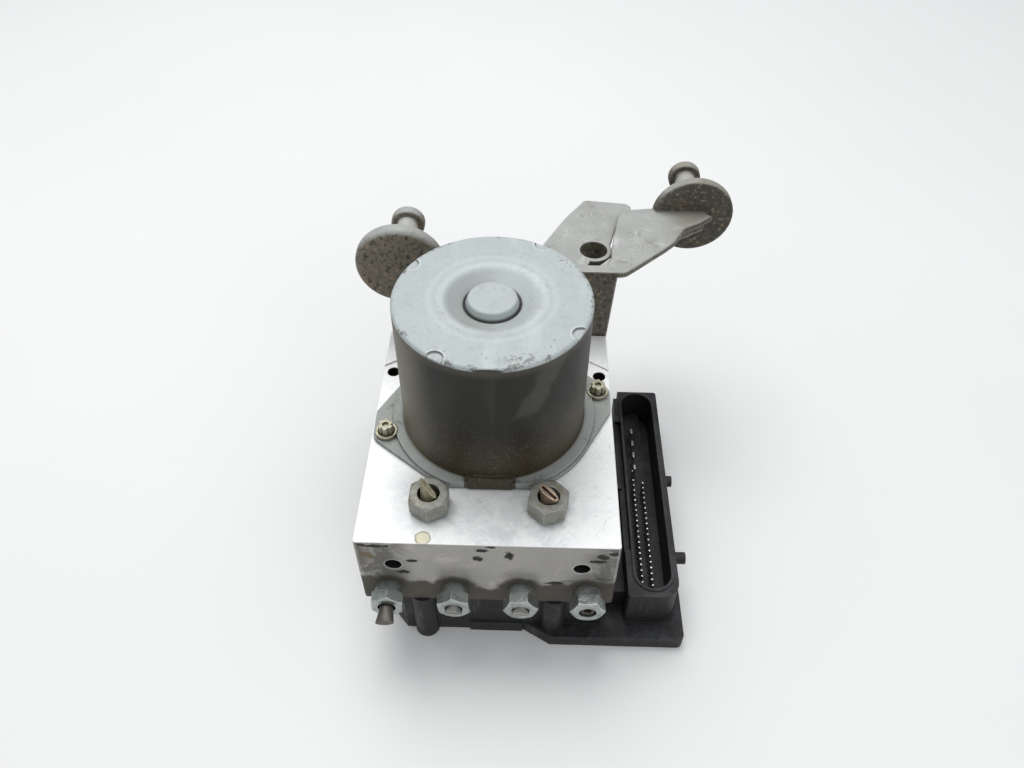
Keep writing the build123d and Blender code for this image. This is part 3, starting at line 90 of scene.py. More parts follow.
class Paint:
    """Builds one material from nodes. Lengths are in metres, in each piece's own (CAD) coordinates."""

    def __init__(self, name):
        self.mat = bpy.data.materials.new(name)
        self.mat.use_nodes = True
        self.tree = self.mat.node_tree
        self.tree.nodes.clear()
        out = self.new("ShaderNodeOutputMaterial")
        self.bsdf = self.new("ShaderNodeBsdfPrincipled")
        self.link(self.bsdf.outputs["BSDF"], out.inputs["Surface"])
        self.coord = self.new("ShaderNodeTexCoord")
        self.geo = self.new("ShaderNodeNewGeometry")
        place = self.new("ShaderNodeSeparateXYZ")
        self.link(self.coord.outputs["Object"], place.inputs[0])
        self.x, self.y, self.z = place.outputs
        facing = self.new("ShaderNodeSeparateXYZ")
        self.link(self.coord.outputs["Normal"], facing.inputs[0])
        self.up = facing.outputs[2]

    def new(self, kind, **values):
        n = self.tree.nodes.new(kind)
        for k, v in values.items():
            setattr(n, k, v)
        return n

    def link(self, a, b):
        self.tree.links.new(a, b)

    def put(self, socket, v):
        if is_socket(v):
            self.link(v, socket)
        else:
            socket.default_value = v

    # arithmetic on sockets and numbers
    def math(self, op, a, b=0.0):
        n = self.new("ShaderNodeMath", operation=op)
        self.put(n.inputs[0], a)
        self.put(n.inputs[1], b)
        return n.outputs[0]

    def mul(self, *vs):
        out = vs[0]
        for v in vs[1:]:
            out = self.math("MULTIPLY", out, v)
        return out

    def most(self, *vs):
        out = vs[0]
        for v in vs[1:]:
            out = self.math("MAXIMUM", out, v)
        return out

    def add(self, a, b):
        return self.math("ADD", a, b)

    def sub(self, a, b):
        return self.math("SUBTRACT", a, b)

    def absolute(self, a):
        return self.math("ABSOLUTE", a)

    def flip(self, a):
        return self.sub(1.0, a)

    def hypot(self, a, b):
        return self.math("SQRT", self.add(self.mul(a, a), self.mul(b, b)))

    def radius(self, cx, cy, squash=1.0):
        """Distance in plan from a point."""
        return self.hypot(self.sub(self.x, cx), self.mul(self.sub(self.y, cy), squash))

    def front_radius(self, cx, cz):
        """Distance from a point, seen from the front."""
        return self.hypot(self.sub(self.x, cx), self.sub(self.z, cz))

    def step(self, v, low, high):
        """0 below low and 1 above high, smooth between them (falls if low is above high)."""
        n = self.new("ShaderNodeMapRange", interpolation_type="SMOOTHSTEP", clamp=True)
        self.put(n.inputs["Value"], v)
        a, b, c, d = (low, high, 0.0, 1.0) if low < high else (high, low, 1.0, 0.0)
        n.inputs["From Min"].default_value = a
        n.inputs["From Max"].default_value = b
        n.inputs["To Min"].default_value = c
        n.inputs["To Max"].default_value = d
        return n.outputs["Result"]

    def band(self, v, middle, half, soft):
        """1 near a middle value and 0 away from it."""
        return self.step(self.absolute(self.sub(v, middle)), half + soft, half)

    # patterns
    def place(self, scale=(1, 1, 1), shift=(0, 0, 0)):
        m = self.new("ShaderNodeMapping")
        self.link(self.coord.outputs["Object"], m.inputs["Vector"])
        m.inputs["Scale"].default_value = scale
        m.inputs["Location"].default_value = shift
        return m.outputs["Vector"]

    def noise(self, size, detail=3.0, rough=0.55, warp=0.0, **where):
        """Cloudy noise; size is about the length of one cloud."""
        n = self.new("ShaderNodeTexNoise")
        self.link(self.place(**where), n.inputs["Vector"])
        n.inputs["Scale"].default_value = 1.0 / size
        n.inputs["Detail"].default_value = detail
        n.inputs["Roughness"].default_value = rough
        n.inputs["Distortion"].default_value = warp
        return n.outputs["Fac"]

    def patches(self, low, high, size, detail=4.0, rough=0.7, **more):
        """Ragged patches: 1 where the noise is past high, 0 where it isn't past low."""
        return self.step(self.noise(size, detail, rough, **more), low, high)

    def ragged(self, v, reach, *noise, **more):
        """The value v, shifted up and down by noise over a reach."""
        return self.add(v, self.mul(self.sub(self.noise(*noise, **more), 0.5), reach))

    def specks(self, size, cover, soft, seed):
        """Small irregular dots; cover goes from 0 (none) to 1."""
        cells = self.new("ShaderNodeTexVoronoi", feature="F1")
        self.link(self.place(shift=(seed, seed * 0.7, seed * 0.3)), cells.inputs["Vector"])
        cells.inputs["Scale"].default_value = 1.0 / size
        cells.inputs["Randomness"].default_value = 1.0
        cloud = self.noise(size * 2.3, 2.0, 0.6, shift=(seed, 0.1, seed))
        dots = self.sub(self.mul(cloud, 0.55 * cover), self.mul(cells.outputs["Distance"], 0.5))
        return self.step(dots, -soft, soft)

    def scratches(self, length, width, seed, turn, thin):
        """Long thin broken lines in one direction, seen in plan."""
        turned = self.new("ShaderNodeMapping")
        self.link(self.coord.outputs["Object"], turned.inputs["Vector"])
        turned.inputs["Rotation"].default_value = (0, 0, turn)
        drawn = self.new("ShaderNodeMapping")
        self.link(turned.outputs["Vector"], drawn.inputs["Vector"])
        drawn.inputs["Scale"].default_value = (1.0, length / width, 1.0)
        drawn.inputs["Location"].default_value = (seed, seed * 1.7, seed * 0.4)
        n = self.new("ShaderNodeTexNoise")
        self.link(drawn.outputs["Vector"], n.inputs["Vector"])
        n.inputs["Scale"].default_value = 1.0 / length
        n.inputs["Detail"].default_value = 1.5
        n.inputs["Distortion"].default_value = 0.25
        return self.step(self.absolute(self.sub(n.outputs["Fac"], 0.5)), thin, thin * 0.25)

    def edges(self, size):
        """1 on outer edges, from the difference of rounded and true normals."""
        b = self.new("ShaderNodeBevel", samples=4)
        b.inputs["Radius"].default_value = size
        dot = self.new("ShaderNodeVectorMath", operation="DOT_PRODUCT")
        self.link(b.outputs["Normal"], dot.inputs[0])
        self.link(self.geo.outputs["Normal"], dot.inputs[1])
        return self.step(dot.outputs["Value"], 0.985, 0.85)

    def corner_shade(self, reach):
        """1 in inner corners and 0 on open faces; it marks where painted shade goes."""
        n = self.new("ShaderNodeAmbientOcclusion", samples=6, only_local=False)
        n.inputs["Distance"].default_value = reach
        return self.step(n.outputs["AO"], 0.82, 0.35)

    # colours
    def mix(self, a, b, fac):
        n = self.new("ShaderNodeMix", data_type="RGBA", clamp_factor=True)
        self.put(n.inputs["Factor"], fac)
        for name, v in (("A", a), ("B", b)):
            socket = [i for i in n.inputs if i.name == name and i.type == "RGBA"][0]
            self.put(socket, v if is_socket(v) else (*v, 1.0))
        return [o for o in n.outputs if o.type == "RGBA"][0]

    def blend(self, a, b, fac):
        """A number between a and b."""
        n = self.new("ShaderNodeMix", data_type="FLOAT", clamp_factor=True)
        self.put(n.inputs["Factor"], fac)
        self.put(n.inputs["A"], a)
        self.put(n.inputs["B"], b)
        return n.outputs[0]

    def finish(self, color, rough, metal, heights, soft_edge=0.0005, spec=0.5):
        """Sets the surface; heights holds pairs of a pattern and its depth."""
        self.put(self.bsdf.inputs["Base Color"], color)
        self.put(self.bsdf.inputs["Roughness"], rough)
        self.put(self.bsdf.inputs["Metallic"], metal)
        self.bsdf.inputs["Specular IOR Level"].default_value = spec
        normal = None
        if soft_edge:
            b = self.new("ShaderNodeBevel", samples=6)
            b.inputs["Radius"].default_value = soft_edge
            normal = b.outputs["Normal"]
        for height, depth in heights:
            b = self.new("ShaderNodeBump")
            b.inputs["Strength"].default_value = 1.0
            b.inputs["Distance"].default_value = depth
            self.put(b.inputs["Height"], height)
            if normal is not None:
                self.link(normal, b.inputs["Normal"])
            normal = b.outputs["Normal"]
        self.link(normal, self.bsdf.inputs["Normal"])
        return self.mat


# ---------------------------------------------------------------- the valve block
def block_top_paint(p, metal, top):
    """Milky stains in front of the motor, thin lines, brown specks and one dried drop."""
    area = p.mul(top, p.step(p.y, -0.016, -0.028), p.step(p.absolute(p.x), 0.043, 0.026))
    stain = p.mul(area, p.patches(0.40, 0.64, 0.012, 4.0, 0.65, warp=0.9))
    metal = p.mix(metal, rgb(202, 206, 206), p.mul(stain, 0.65))
    pale = p.mul(area, p.patches(0.58, 0.7, 0.007, warp=1.2, shift=(0.4, 0.1, 0)))
    metal = p.mix(metal, rgb(238, 241, 241), p.mul(pale, 0.7))
    hair = p.most(p.scratches(0.035, 0.004, 3.1, 0.9, 0.004), p.scratches(0.05, 0.006, 7.7, -0.6, 0.003))
    metal = p.mix(metal, rgb(168, 168, 166), p.mul(p.mul(top, hair), 0.45))
    fleck = p.mul(top, p.patches(0.69, 0.73, 0.0016, 3.0, shift=(0, 0.9, 0)))
    metal = p.mix(metal, rgb(122, 116, 104), p.mul(fleck, 0.6))
    drop = p.ragged(p.radius(-0.0217, -0.0492), 0.002, 0.003, 2.0)
    metal = p.mix(metal, rgb(206, 202, 178), p.mul(top, p.step(drop, 0.0026, 0.0022)))
    return p.mix(metal, rgb(120, 114, 84), p.mul(top, p.band(drop, 0.0025, 0.0001, 0.0003), 0.7))


def block_side_paint(p):
    """Duller, darker grey with upright smears, and a brown film; the darker grey is partly the sides' own finish
    and partly painted shade; returns the colour and the film's mask.
    """
    shaded_dull_side = p.mix(rgb(146, 144, 139), rgb(178, 175, 169), p.noise(0.02, 4.0, 0.6, scale=(1, 1, 0.45)))
    smears = p.patches(0.52, 0.68, 0.014, warp=0.8, shift=(1.3, 0, 0.6))
    shaded_dull_side = p.mix(shaded_dull_side, rgb(196, 190, 182), p.mul(smears, 0.6))
    # darker above and around each wheel nut
    near = [p.ragged(p.front_radius(cx, WHEEL_NUTS_Z), 0.003, 0.004, 3.0) for cx in WHEEL_NUTS_X]
    halo = p.most(*[p.step(d, 0.0098, 0.0070) for d in near])
    above = p.most(*[p.step(p.absolute(p.sub(p.x, cx)), 0.0085, 0.003) for cx in WHEEL_NUTS_X])
    shaded_dull_side = p.mix(shaded_dull_side, rgb(112, 111, 108), p.mul(above, p.step(p.z, 0.052, 0.044), 0.55))
    ends = p.mul(p.step(p.absolute(p.add(p.x, -0.003)), 0.027, 0.038), p.patches(0.30, 0.54, 0.012, warp=0.8))
    shaded_dull_side = p.mix(shaded_dull_side, rgb(80, 78, 71), p.mul(ends, 0.8))
    # a brown film along the foot, higher at both ends, with a darker tide line
    low = p.sub(p.z, p.mul(p.absolute(p.x), 0.14))
    low = p.ragged(low, 0.010, 0.010, 4.0, 0.65, warp=0.6)
    film = p.most(p.step(low, 0.0372, 0.0350), halo)
    brown = p.mix(rgb(44, 39, 31), rgb(76, 68, 54), p.noise(0.005, 4.0, 0.7))
    shaded_dull_side = p.mix(shaded_dull_side, brown, p.mul(film, 0.92))
    tide = p.mul(p.band(low, 0.0378, 0.0003, 0.0008), p.flip(halo))
    shaded_dull_side = p.mix(shaded_dull_side, rgb(60, 54, 46), p.mul(tide, p.patches(0.48, 0.6, 0.006, 3.0, 0.55), 0.6))
    # black blots and one olive mark on the front
    front = p.step(p.y, BLOCK_FRONT + 0.0010, BLOCK_FRONT + 0.0005)
    rag = p.mul(p.sub(p.noise(0.0028, 4.0, 0.75, warp=0.7), 0.5), 3.4)
    blots = []
    for cx, cz, rx, rz in FRONT_BLOTS:
        dx = p.math("DIVIDE", p.sub(p.x, cx * MM), rx * MM)
        dz = p.math("DIVIDE", p.sub(p.z, cz * MM), rz * MM)
        blots.append(p.step(p.add(p.hypot(dx, dz), rag), 1.15, 0.8))
    shaded_dull_side = p.mix(shaded_dull_side, rgb(26, 22, 19), p.mul(p.most(*blots), front))
    olive = p.step(p.radius(-0.0402, BLOCK_FRONT), 0.0040, 0.002)
    olive = p.mul(olive, p.band(p.z, 0.0558, 0.0016, 0.001), front)
    shaded_dull_side = p.mix(shaded_dull_side, rgb(104, 92, 62), p.mul(olive, p.patches(0.42, 0.55, 0.003, 3.0)))
    return shaded_dull_side, film


def block_aluminium():
    """Bright milled top; sides duller and darker, partly as painted shade; painted shade in the bores."""
    p = Paint("block_aluminium")
    top = p.step(p.z, BLOCK_TOP - 0.0004, BLOCK_TOP - 0.0001)
    side = p.flip(top)
    clouds = p.noise(0.022, 4.0, 0.6)
    fine = p.noise(0.0030, 3.0, 0.6)
    metal = p.mix(rgb(228, 229, 228), rgb(246, 247, 246), clouds)
    metal = p.mix(metal, rgb(208, 210, 209), p.mul(p.step(fine, 0.54, 0.78), 0.4))
    metal = block_top_paint(p, metal, top)
    shaded_dull_side, film = block_side_paint(p)
    # the sides take the darker grey: partly their finish, partly painted shade for faces that get less light
    metal = p.mix(metal, shaded_dull_side, side)
    dots = p.patches(0.67, 0.72, 0.0014, 3.0, shift=(0.6, 0, 0))
    metal = p.mix(metal, rgb(66, 60, 52), p.mul(side, dots, 0.6))
    # painted shade inside the bores
    for cx in FRONT_HOLES_X:
        bore_shade = p.step(p.front_radius(cx, FRONT_HOLES_Z), 0.0034, 0.0032)
        bore_shade = p.mul(bore_shade, p.step(p.y, BLOCK_FRONT + 0.0001, BLOCK_FRONT + 0.0005), p.step(p.y, -0.03, -0.035))
        metal = p.mix(metal, rgb(34, 26, 24), bore_shade)
    for cx in TOP_HOLES_X:
        bore_shade = p.step(p.radius(cx, TOP_HOLES_Y), 0.0029, 0.0027)
        bore_shade = p.mul(bore_shade, p.step(p.z, BLOCK_TOP - 0.0001, BLOCK_TOP - 0.0005))
        metal = p.mix(metal, rgb(30, 26, 24), bore_shade)
    # painted shade where pieces meet, and bare edges lightened with a painted highlight
    metal = p.mix(metal, rgb(96, 92, 84), p.mul(p.corner_shade(0.0022), p.blend(0.7, 0.4, top)))
    metal = p.mix(metal, rgb(250, 250, 249), p.mul(p.edges(0.0008), p.flip(p.mul(film, side)), 0.75))
    lines = p.noise(0.0006, 2.0, 0.5, scale=(0.02, 1, 1))
    rough = p.blend(p.add(0.46, p.mul(clouds, 0.12)), 0.6, side)
    return p.finish(metal, rough, p.blend(0.25, 0.2, side), [(lines, 0.00004), (fine, 0.00008)])


# ---------------------------------------------------------------- the motor
def zinc_paint(p, r, cap, rim, fine, cloud):
    """The dished end: pale blue-grey zinc, with soft rings painted as highlights and painted shade round the boss;
    returns the colour and its spots.
    """
    zinc = p.mix(rgb(166, 174, 174), rgb(184, 191, 190), cloud)
    zinc = p.mix(zinc, rgb(150, 158, 157), p.mul(p.step(fine, 0.5, 0.75), 0.4))
    streak = p.patches(0.52, 0.7, 0.010, 3.0, 0.6, scale=(1.0, 0.18, 1.0))
    zinc = p.mix(zinc, rgb(196, 203, 202), p.mul(streak, 0.4))
    # two soft pale rings are painted highlights, the inner one where the dish meets the flat end
    rings = p.most(p.band(r, 0.0176, 0.0003, 0.0016), p.mul(p.band(r, 0.0212, 0.0003, 0.0014), 0.6))
    zinc = p.mix(zinc, rgb(206, 212, 211), p.mul(rings, cap, 0.3))
    tarnish = p.mul(p.patches(0.52, 0.72, 0.008, warp=0.5, shift=(0.7, 0.3, 0)), cap)
    zinc = p.mix(zinc, rgb(152, 158, 154), p.mul(tarnish, 0.45))
    # painted shade in the dip round the boss, most of all at its left
    dish_shade = p.mul(p.band(r, 0.0125, 0.002, 0.0025), cap)
    left = p.add(0.35, p.mul(p.step(p.x, 0.006, -0.010), 0.65))
    zinc = p.mix(zinc, rgb(132, 138, 134), p.mul(dish_shade, left, 0.55))
    boss = p.mul(p.step(r, 0.0105, 0.0085), cap)
    zinc = p.mix(zinc, rgb(176, 180, 176), p.mul(boss, p.patches(0.45, 0.7, 0.004), 0.5))
    # a painted shade line round the foot of the boss
    foot = p.mul(p.band(r, 0.0095, 0.00025, 0.0005), cap, p.step(p.z, 0.1212, 0.1200), 0.85)
    zinc = p.mix(zinc, rgb(48, 50, 48), foot)
    # specks and rubbed dirt, most of it by the rim
    by_rim = p.add(0.3, p.mul(p.step(r, 0.0255, 0.0325), 0.7))
    spots = p.mul(p.specks(0.0016, 0.36, 0.02, 0.9), by_rim, p.patches(0.46, 0.6, 0.016, 2.0, 0.55))
    patch = p.mul(p.step(p.radius(0.0105, -0.0222, 1.6), 0.0065, 0.003), p.patches(0.53, 0.62, 0.0019, 4.0, 0.75))
    spots = p.most(spots, patch)
    zinc = p.mix(zinc, rgb(96, 96, 84), p.mul(spots, rim, 0.7))
    rub = p.mul(p.band(r, 0.0331, 0.0004, 0.0008), p.patches(0.52, 0.62, 0.005, 3.0, shift=(0, 1.4, 0)))
    zinc = p.mix(zinc, rgb(88, 84, 76), p.mul(rub, cap, 0.7))
    # a painted shade line and a painted highlight line round each crimp
    for a in CRIMP_ANGLES:
        d = p.radius(CRIMP_RADIUS * math.cos(a), MOTOR_Y + CRIMP_RADIUS * math.sin(a))
        zinc = p.mix(zinc, rgb(66, 68, 66), p.mul(p.band(d, 0.0028, 0.0001, 0.0003), rim, 0.8))
        zinc = p.mix(zinc, rgb(222, 228, 227), p.mul(p.band(d, 0.0033, 0.0001, 0.0003), rim, 0.4))
    return zinc, spots


def can_film(p, grain):
    """The can's brown film: olive and grainy below; paler along the left as a painted reflection."""
    film = p.mix(rgb(22, 20, 17), rgb(36, 33, 27), p.noise(0.018, 4.0, 0.6, scale=(1, 1, 0.5)))
    low = p.ragged(p.z, 0.030, 0.02, 4.0, 0.65)
    film = p.mix(film, rgb(70, 62, 40), p.mul(p.step(low, 0.094, 0.072), 0.7))
    # a painted reflection: the can's left side made paler
    left = p.step(p.x, -0.017, -0.031)
    film = p.mix(film, rgb(108, 104, 88), p.mul(left, 0.9))
    grainy = p.most(p.step(low, 0.105, 0.075), p.mul(left, 0.8))
    film = p.mix(film, rgb(108, 100, 78), p.mul(p.step(grain, 0.58, 0.7), grainy, 0.55))
    film = p.mix(film, rgb(28, 26, 24), p.mul(p.step(grain, 0.44, 0.34), 0.4))
    # a slanted painted highlight streak on the front of the can
    slant = p.ragged(p.sub(p.x, p.mul(p.sub(p.z, 0.1), 0.42)), 0.006, 0.006, 3.0)
    highlight_streak = p.mul(p.band(slant, 0.0125, 0.0022, 0.003), p.step(p.z, 0.097, 0.101), p.step(p.y, 0.0, -0.004))
    film = p.mix(film, rgb(76, 77, 72), p.mul(highlight_streak, 0.5))
    drips = p.patches(0.58, 0.68, 0.010, 3.0, 0.65, scale=(1, 1, 0.14), shift=(0.5, 0.2, 0.9))
    film = p.mix(film, rgb(60, 58, 50), p.mul(drips, 0.35))
    return p.mix(film, rgb(78, 75, 66), p.mul(p.step(p.z, 0.1170, 0.1205), 0.6))


def motor_steel():
    """Zinc on the end and the flange, brown film on the can and its lug."""
    p = Paint("motor_steel")
    # masks: the dished end with its rim, the can's wall, and the lug at the front of its foot
    r = p.radius(0.0, MOTOR_Y)
    cap = p.step(p.z, 0.1187, 0.1190)
    rim = p.step(p.z, 0.1206, 0.1213)
    can = p.mul(p.flip(rim), p.step(p.z, 0.0669, 0.0673), p.step(r, 0.0349, 0.0344), p.step(r, 0.0322, 0.0330))
    lug = p.mul(p.step(p.y, -0.0262, -0.0266), p.step(p.absolute(p.x), 0.0092, 0.0089), p.step(p.z, 0.0642, 0.0646))
    skin = p.most(can, lug)
    cloud = p.noise(0.016, 4.0, 0.6)
    fine = p.noise(0.0016, 3.0, 0.65)
    grain = p.noise(0.0008, 2.0, 0.6)
    zinc, spots = zinc_paint(p, r, cap, rim, fine, cloud)
    # the flange: greyer, with patches of brown film
    flange = p.mix(rgb(136, 140, 136), rgb(168, 172, 168), p.noise(0.009, 4.0, 0.65))
    brown = p.patches(0.54, 0.66, 0.006, warp=0.6, shift=(0.8, 0, 0))
    flange = p.mix(flange, rgb(104, 101, 90), p.mul(brown, 0.6))
    # pale flange edges: partly wear, partly a painted highlight
    flange = p.mix(flange, rgb(190, 196, 194), p.mul(p.edges(0.0005), 0.6))
    color = p.mix(zinc, flange, p.flip(p.step(p.z, 0.0692, 0.0698)))
    color = p.mix(color, can_film(p, grain), skin)
    # a painted highlight line along the can's foot
    foot = p.mul(p.band(r, 0.0345, 0.0002, 0.0004), p.band(p.z, 0.0673, 0.0004, 0.0003))
    color = p.mix(color, rgb(140, 142, 136), p.mul(foot, 0.6))
    # a painted highlight along the end's rim and the lug's top edge
    rim_lug_highlight = p.mul(p.edges(0.0007), p.most(rim, lug))
    color = p.mix(color, p.mix(rgb(212, 216, 214), rgb(158, 152, 138), lug), p.mul(rim_lug_highlight, 0.7))
    # painted shade in the corners below the rim
    color = p.mix(color, rgb(44, 43, 39), p.mul(p.corner_shade(0.0022), p.flip(rim), 0.8))
    rough = p.blend(p.add(0.52, p.mul(cloud, 0.12)), p.add(0.42, p.mul(p.noise(0.012, 3.0), 0.16)), skin)
    heights = [(fine, 0.00005), (grain, 0.00003), (spots, 0.00006)]
    return p.finish(color, rough, 0.12, heights, spec=0.35)


# ---------------------------------------------------------------- the bracket
def cast_aluminium():
    """Pale where it faces up, as if lit, and darker, dirty and speckled elsewhere, partly as painted shade; browner
    at the long arm's end.
    """
    p = Paint("cast_aluminium")
    # faces that point up get the pale colour as painted light; the others get a darker one, dirty and partly
    # painted shade
    flat = p.step(p.ragged(p.up, 0.25, 0.004, 3.0), 0.30, 0.78)
    cloud = p.noise(0.014, 4.0, 0.6)
    grain = p.noise(0.0017, 3.0, 0.75)
    pale = p.mix(rgb(142, 143, 139), rgb(180, 182, 178), cloud)
    pale = p.mix(pale, rgb(204, 205, 203), p.mul(p.patches(0.56, 0.7, 0.007, warp=0.6), 0.5))
    stain = p.patches(0.58, 0.7, 0.010, warp=0.7, shift=(0.9, 0, 0))
    pale = p.mix(pale, rgb(120, 116, 106), p.mul(stain, 0.5))
    pale = p.mix(pale, rgb(124, 116, 96), p.mul(p.step(p.x, 0.064, 0.080), 0.6))
    dirt_and_shade = p.mix(rgb(78, 74, 64), rgb(112, 108, 95), p.noise(0.012, 4.0, 0.65))
    dirt_and_shade = p.mix(dirt_and_shade, rgb(58, 55, 48), p.mul(p.step(p.x, 0.060, 0.085), 0.7))
    rust = p.mul(p.patches(0.50, 0.68, 0.010, shift=(0.3, 0.2, 0.1)), 0.5)
    dirt_and_shade = p.mix(dirt_and_shade, rgb(116, 98, 70), rust)
    dirt_and_shade = p.mix(dirt_and_shade, rgb(138, 130, 114), p.mul(p.step(p.x, 0.0, -0.025), 0.45))
    dirt_and_shade = p.mix(dirt_and_shade, rgb(46, 42, 36), p.mul(p.step(grain, 0.47, 0.38), 0.8))
    dirt_and_shade = p.mix(dirt_and_shade, rgb(164, 148, 118), p.mul(p.step(grain, 0.58, 0.66), 0.65))
    color = p.mix(dirt_and_shade, pale, flat)
    color = p.mix(color, rgb(74, 70, 62), p.mul(p.step(grain, 0.42, 0.30), 0.35))
    # rims lightened, partly wear and partly a painted highlight, and the bare necks of the pins
    color = p.mix(color, rgb(186, 185, 180), p.mul(p.edges(0.0016), 0.6))
    along = p.most(*[p.band(p.y, middle, half, 0.001) for middle, half in PINS_Y])
    across = p.most(*[p.band(p.x, cx, PIN_HALF, 0.0005) for cx in PINS_X])
    necks = p.mul(along, p.step(p.z, 0.089, 0.0905), across)
    color = p.mix(color, rgb(178, 178, 172), p.mul(necks, 0.7))
    rings = [p.mul(p.band(p.radius(cx, cy), rad, 0.00015, 0.0004), flat) for cx, cy, rad in EJECTOR_MARKS]
    marks = p.most(*rings)
    color = p.mix(color, rgb(206, 205, 200), p.mul(marks, 0.5))
    # painted shade in the corners
    color = p.mix(color, rgb(58, 54, 46), p.mul(p.corner_shade(0.0035), 0.65))
    heights = [(grain, 0.00022), (cloud, 0.0005), (marks, 0.0003)]
    return p.finish(color, p.add(0.56, p.mul(cloud, 0.15)), 0.15, heights, 0.0009)


# ---------------------------------------------------------------- the connector and the small pieces
def black_plastic():
    """Dusty where it faces up, hazy on its front, a few scuffs."""
    p = Paint("black_plastic")
    flat = p.step(p.up, 0.6, 0.95)
    cloud = p.noise(0.018, 4.0, 0.6)
    grain = p.noise(0.0007, 2.0, 0.6)
    color = p.mix(rgb(20, 20, 21), rgb(31, 31, 33), cloud)
    dust = p.mul(p.add(0.12, p.mul(flat, 0.88)), p.patches(0.36, 0.72, 0.007))
    color = p.mix(color, rgb(74, 76, 80), p.mul(dust, 0.5))
    haze = p.patches(0.54, 0.7, 0.010, warp=0.8, scale=(1, 1, 0.4), shift=(0.6, 0, 0))
    haze = p.mul(haze, p.step(p.y, -0.03, -0.045), p.step(p.x, 0.046, 0.042))
    color = p.mix(color, rgb(86, 84, 82), p.mul(haze, 0.6))
    color = p.mix(color, rgb(88, 80, 68), p.mul(p.step(grain, 0.62, 0.72), 0.3))
    scuff = p.scratches(0.02, 0.0012, 2.3, 0.3, 0.008)
    color = p.mix(color, rgb(92, 92, 92), p.mul(scuff, 0.3))
    # grey edges: partly wear, partly a painted highlight
    color = p.mix(color, rgb(96, 98, 100), p.mul(p.edges(0.0005), 0.5))
    # painted shade in the corners
    color = p.mix(color, rgb(10, 10, 10), p.mul(p.corner_shade(0.0040), 0.7))
    heights = [(grain, 0.00009), (cloud, 0.0003)]
    return p.finish(color, p.add(0.44, p.mul(cloud, 0.2)), 0.0, heights, 0.0004, 0.35)


def plated_steel(name, light, dark, stain, amount, seed, rough=0.3, metal=0.6):
    """Plating with stains, worn edges with a painted highlight, and painted shade in the corners."""
    p = Paint(name)
    cloud = p.noise(0.005, 4.0, 0.6, shift=(seed, seed, 0))
    grain = p.noise(0.0009, 2.0, 0.6)
    color = p.mix(dark, light, cloud)
    stains = p.patches(0.5, 0.64, 0.0035, warp=0.7, shift=(0, seed, seed))
    color = p.mix(color, stain, p.mul(stains, amount))
    color = p.mix(color, stain, p.mul(p.step(grain, 0.56, 0.68), amount * 0.6))
    # worn edges with a painted highlight
    color = p.mix(color, tuple(min(1.0, c * 1.5) for c in light), p.mul(p.edges(0.0005), 0.75))
    # painted shade in the corners
    color = p.mix(color, tuple(c * 0.4 for c in dark), p.mul(p.corner_shade(0.0012), 0.8))
    heights = [(grain, 0.00006), (cloud, 0.00025)]
    return p.finish(color, p.add(rough, p.mul(cloud, 0.2)), metal, heights, 0.0004)


def plain_metal(name, light, dark, rough):
    p = Paint(name)
    cloud = p.noise(0.004, 4.0, 0.6)
    grain = p.noise(0.0006, 2.0, 0.6)
    color = p.mix(dark, light, cloud)
    return p.finish(color, p.add(rough, p.mul(cloud, 0.15)), 1.0, [(grain, 0.00005)], 0.0002)


def plain_plastic(name, light, dark, rough):
    p = Paint(name)
    cloud = p.noise(0.006, 3.0, 0.6)
    grain = p.noise(0.0009, 2.0, 0.6)
    color = p.mix(dark, light, cloud)
    return p.finish(color, p.add(rough, p.mul(cloud, 0.15)), 0.0, [(grain, 0.00006)], 0.0002)


# plated pieces: name, light, dark and stain colours, amount of stain, seed, then roughness and metalness
PLATED = {
    "mc_tube_nuts": (
        "mc_nut_steel", rgb(170, 171, 163), rgb(104, 104, 96), rgb(112, 100, 72), 0.6, 1.3, 0.38, 0.5),
    "wheel_tube_nuts": (
        "wheel_nut_steel", rgb(196, 203, 201), rgb(128, 134, 131), rgb(78, 76, 66), 0.35, 3.1, 0.22, 0.85),
    "mc_pipe_left": ("pipe_left", rgb(190, 186, 158), rgb(98, 88, 66), rgb(72, 58, 38), 0.45, 0.7),
    "mc_pipe_right": ("pipe_right", rgb(190, 170, 150), rgb(116, 98, 84), rgb(84, 64, 50), 0.4, 5.7, 0.24),
    "wheel_pipe_1": ("pipe_one", rgb(112, 110, 102), rgb(58, 54, 48), rgb(38, 34, 30), 0.5, 2.7),
    "wheel_pipe_2": ("pipe_two", rgb(158, 158, 152), rgb(78, 76, 70), rgb(48, 44, 38), 0.4, 8.7),
    "wheel_pipe_3": ("pipe_three", rgb(174, 176, 170), rgb(104, 102, 94), rgb(58, 54, 46), 0.4, 6.7),
    "wheel_pipe_4": ("pipe_four", rgb(104, 98, 90), rgb(60, 54, 48), rgb(44, 38, 32), 0.6, 4.7),
    "motor_screws": ("screw_zinc", rgb(196, 194, 174), rgb(128, 122, 98), rgb(74, 68, 48), 0.5, 2.1, 0.32),
}

looks = {
    "hydraulic_block": block_aluminium(),
    "motor_housing": motor_steel(),
    "bracket": cast_aluminium(),
    "top_bearing": plain_metal("sintered_bronze", rgb(150, 116, 70), rgb(104, 76, 42), 0.5),
    "motor_magnets": plain_plastic("ferrite", rgb(66, 66, 68), rgb(44, 44, 46), 0.6),
    "brushes": plain_plastic("carbon", rgb(50, 50, 52), rgb(30, 30, 30), 0.5),
    "valve_coils": plain_plastic("coil_varnish", rgb(120, 60, 34), rgb(76, 36, 20), 0.35),
    "circuit_board": plain_plastic("board_lacquer", rgb(34, 92, 52), rgb(20, 62, 36), 0.35),
}
for name, values in PLATED.items():
    looks[name] = plated_steel(*values)

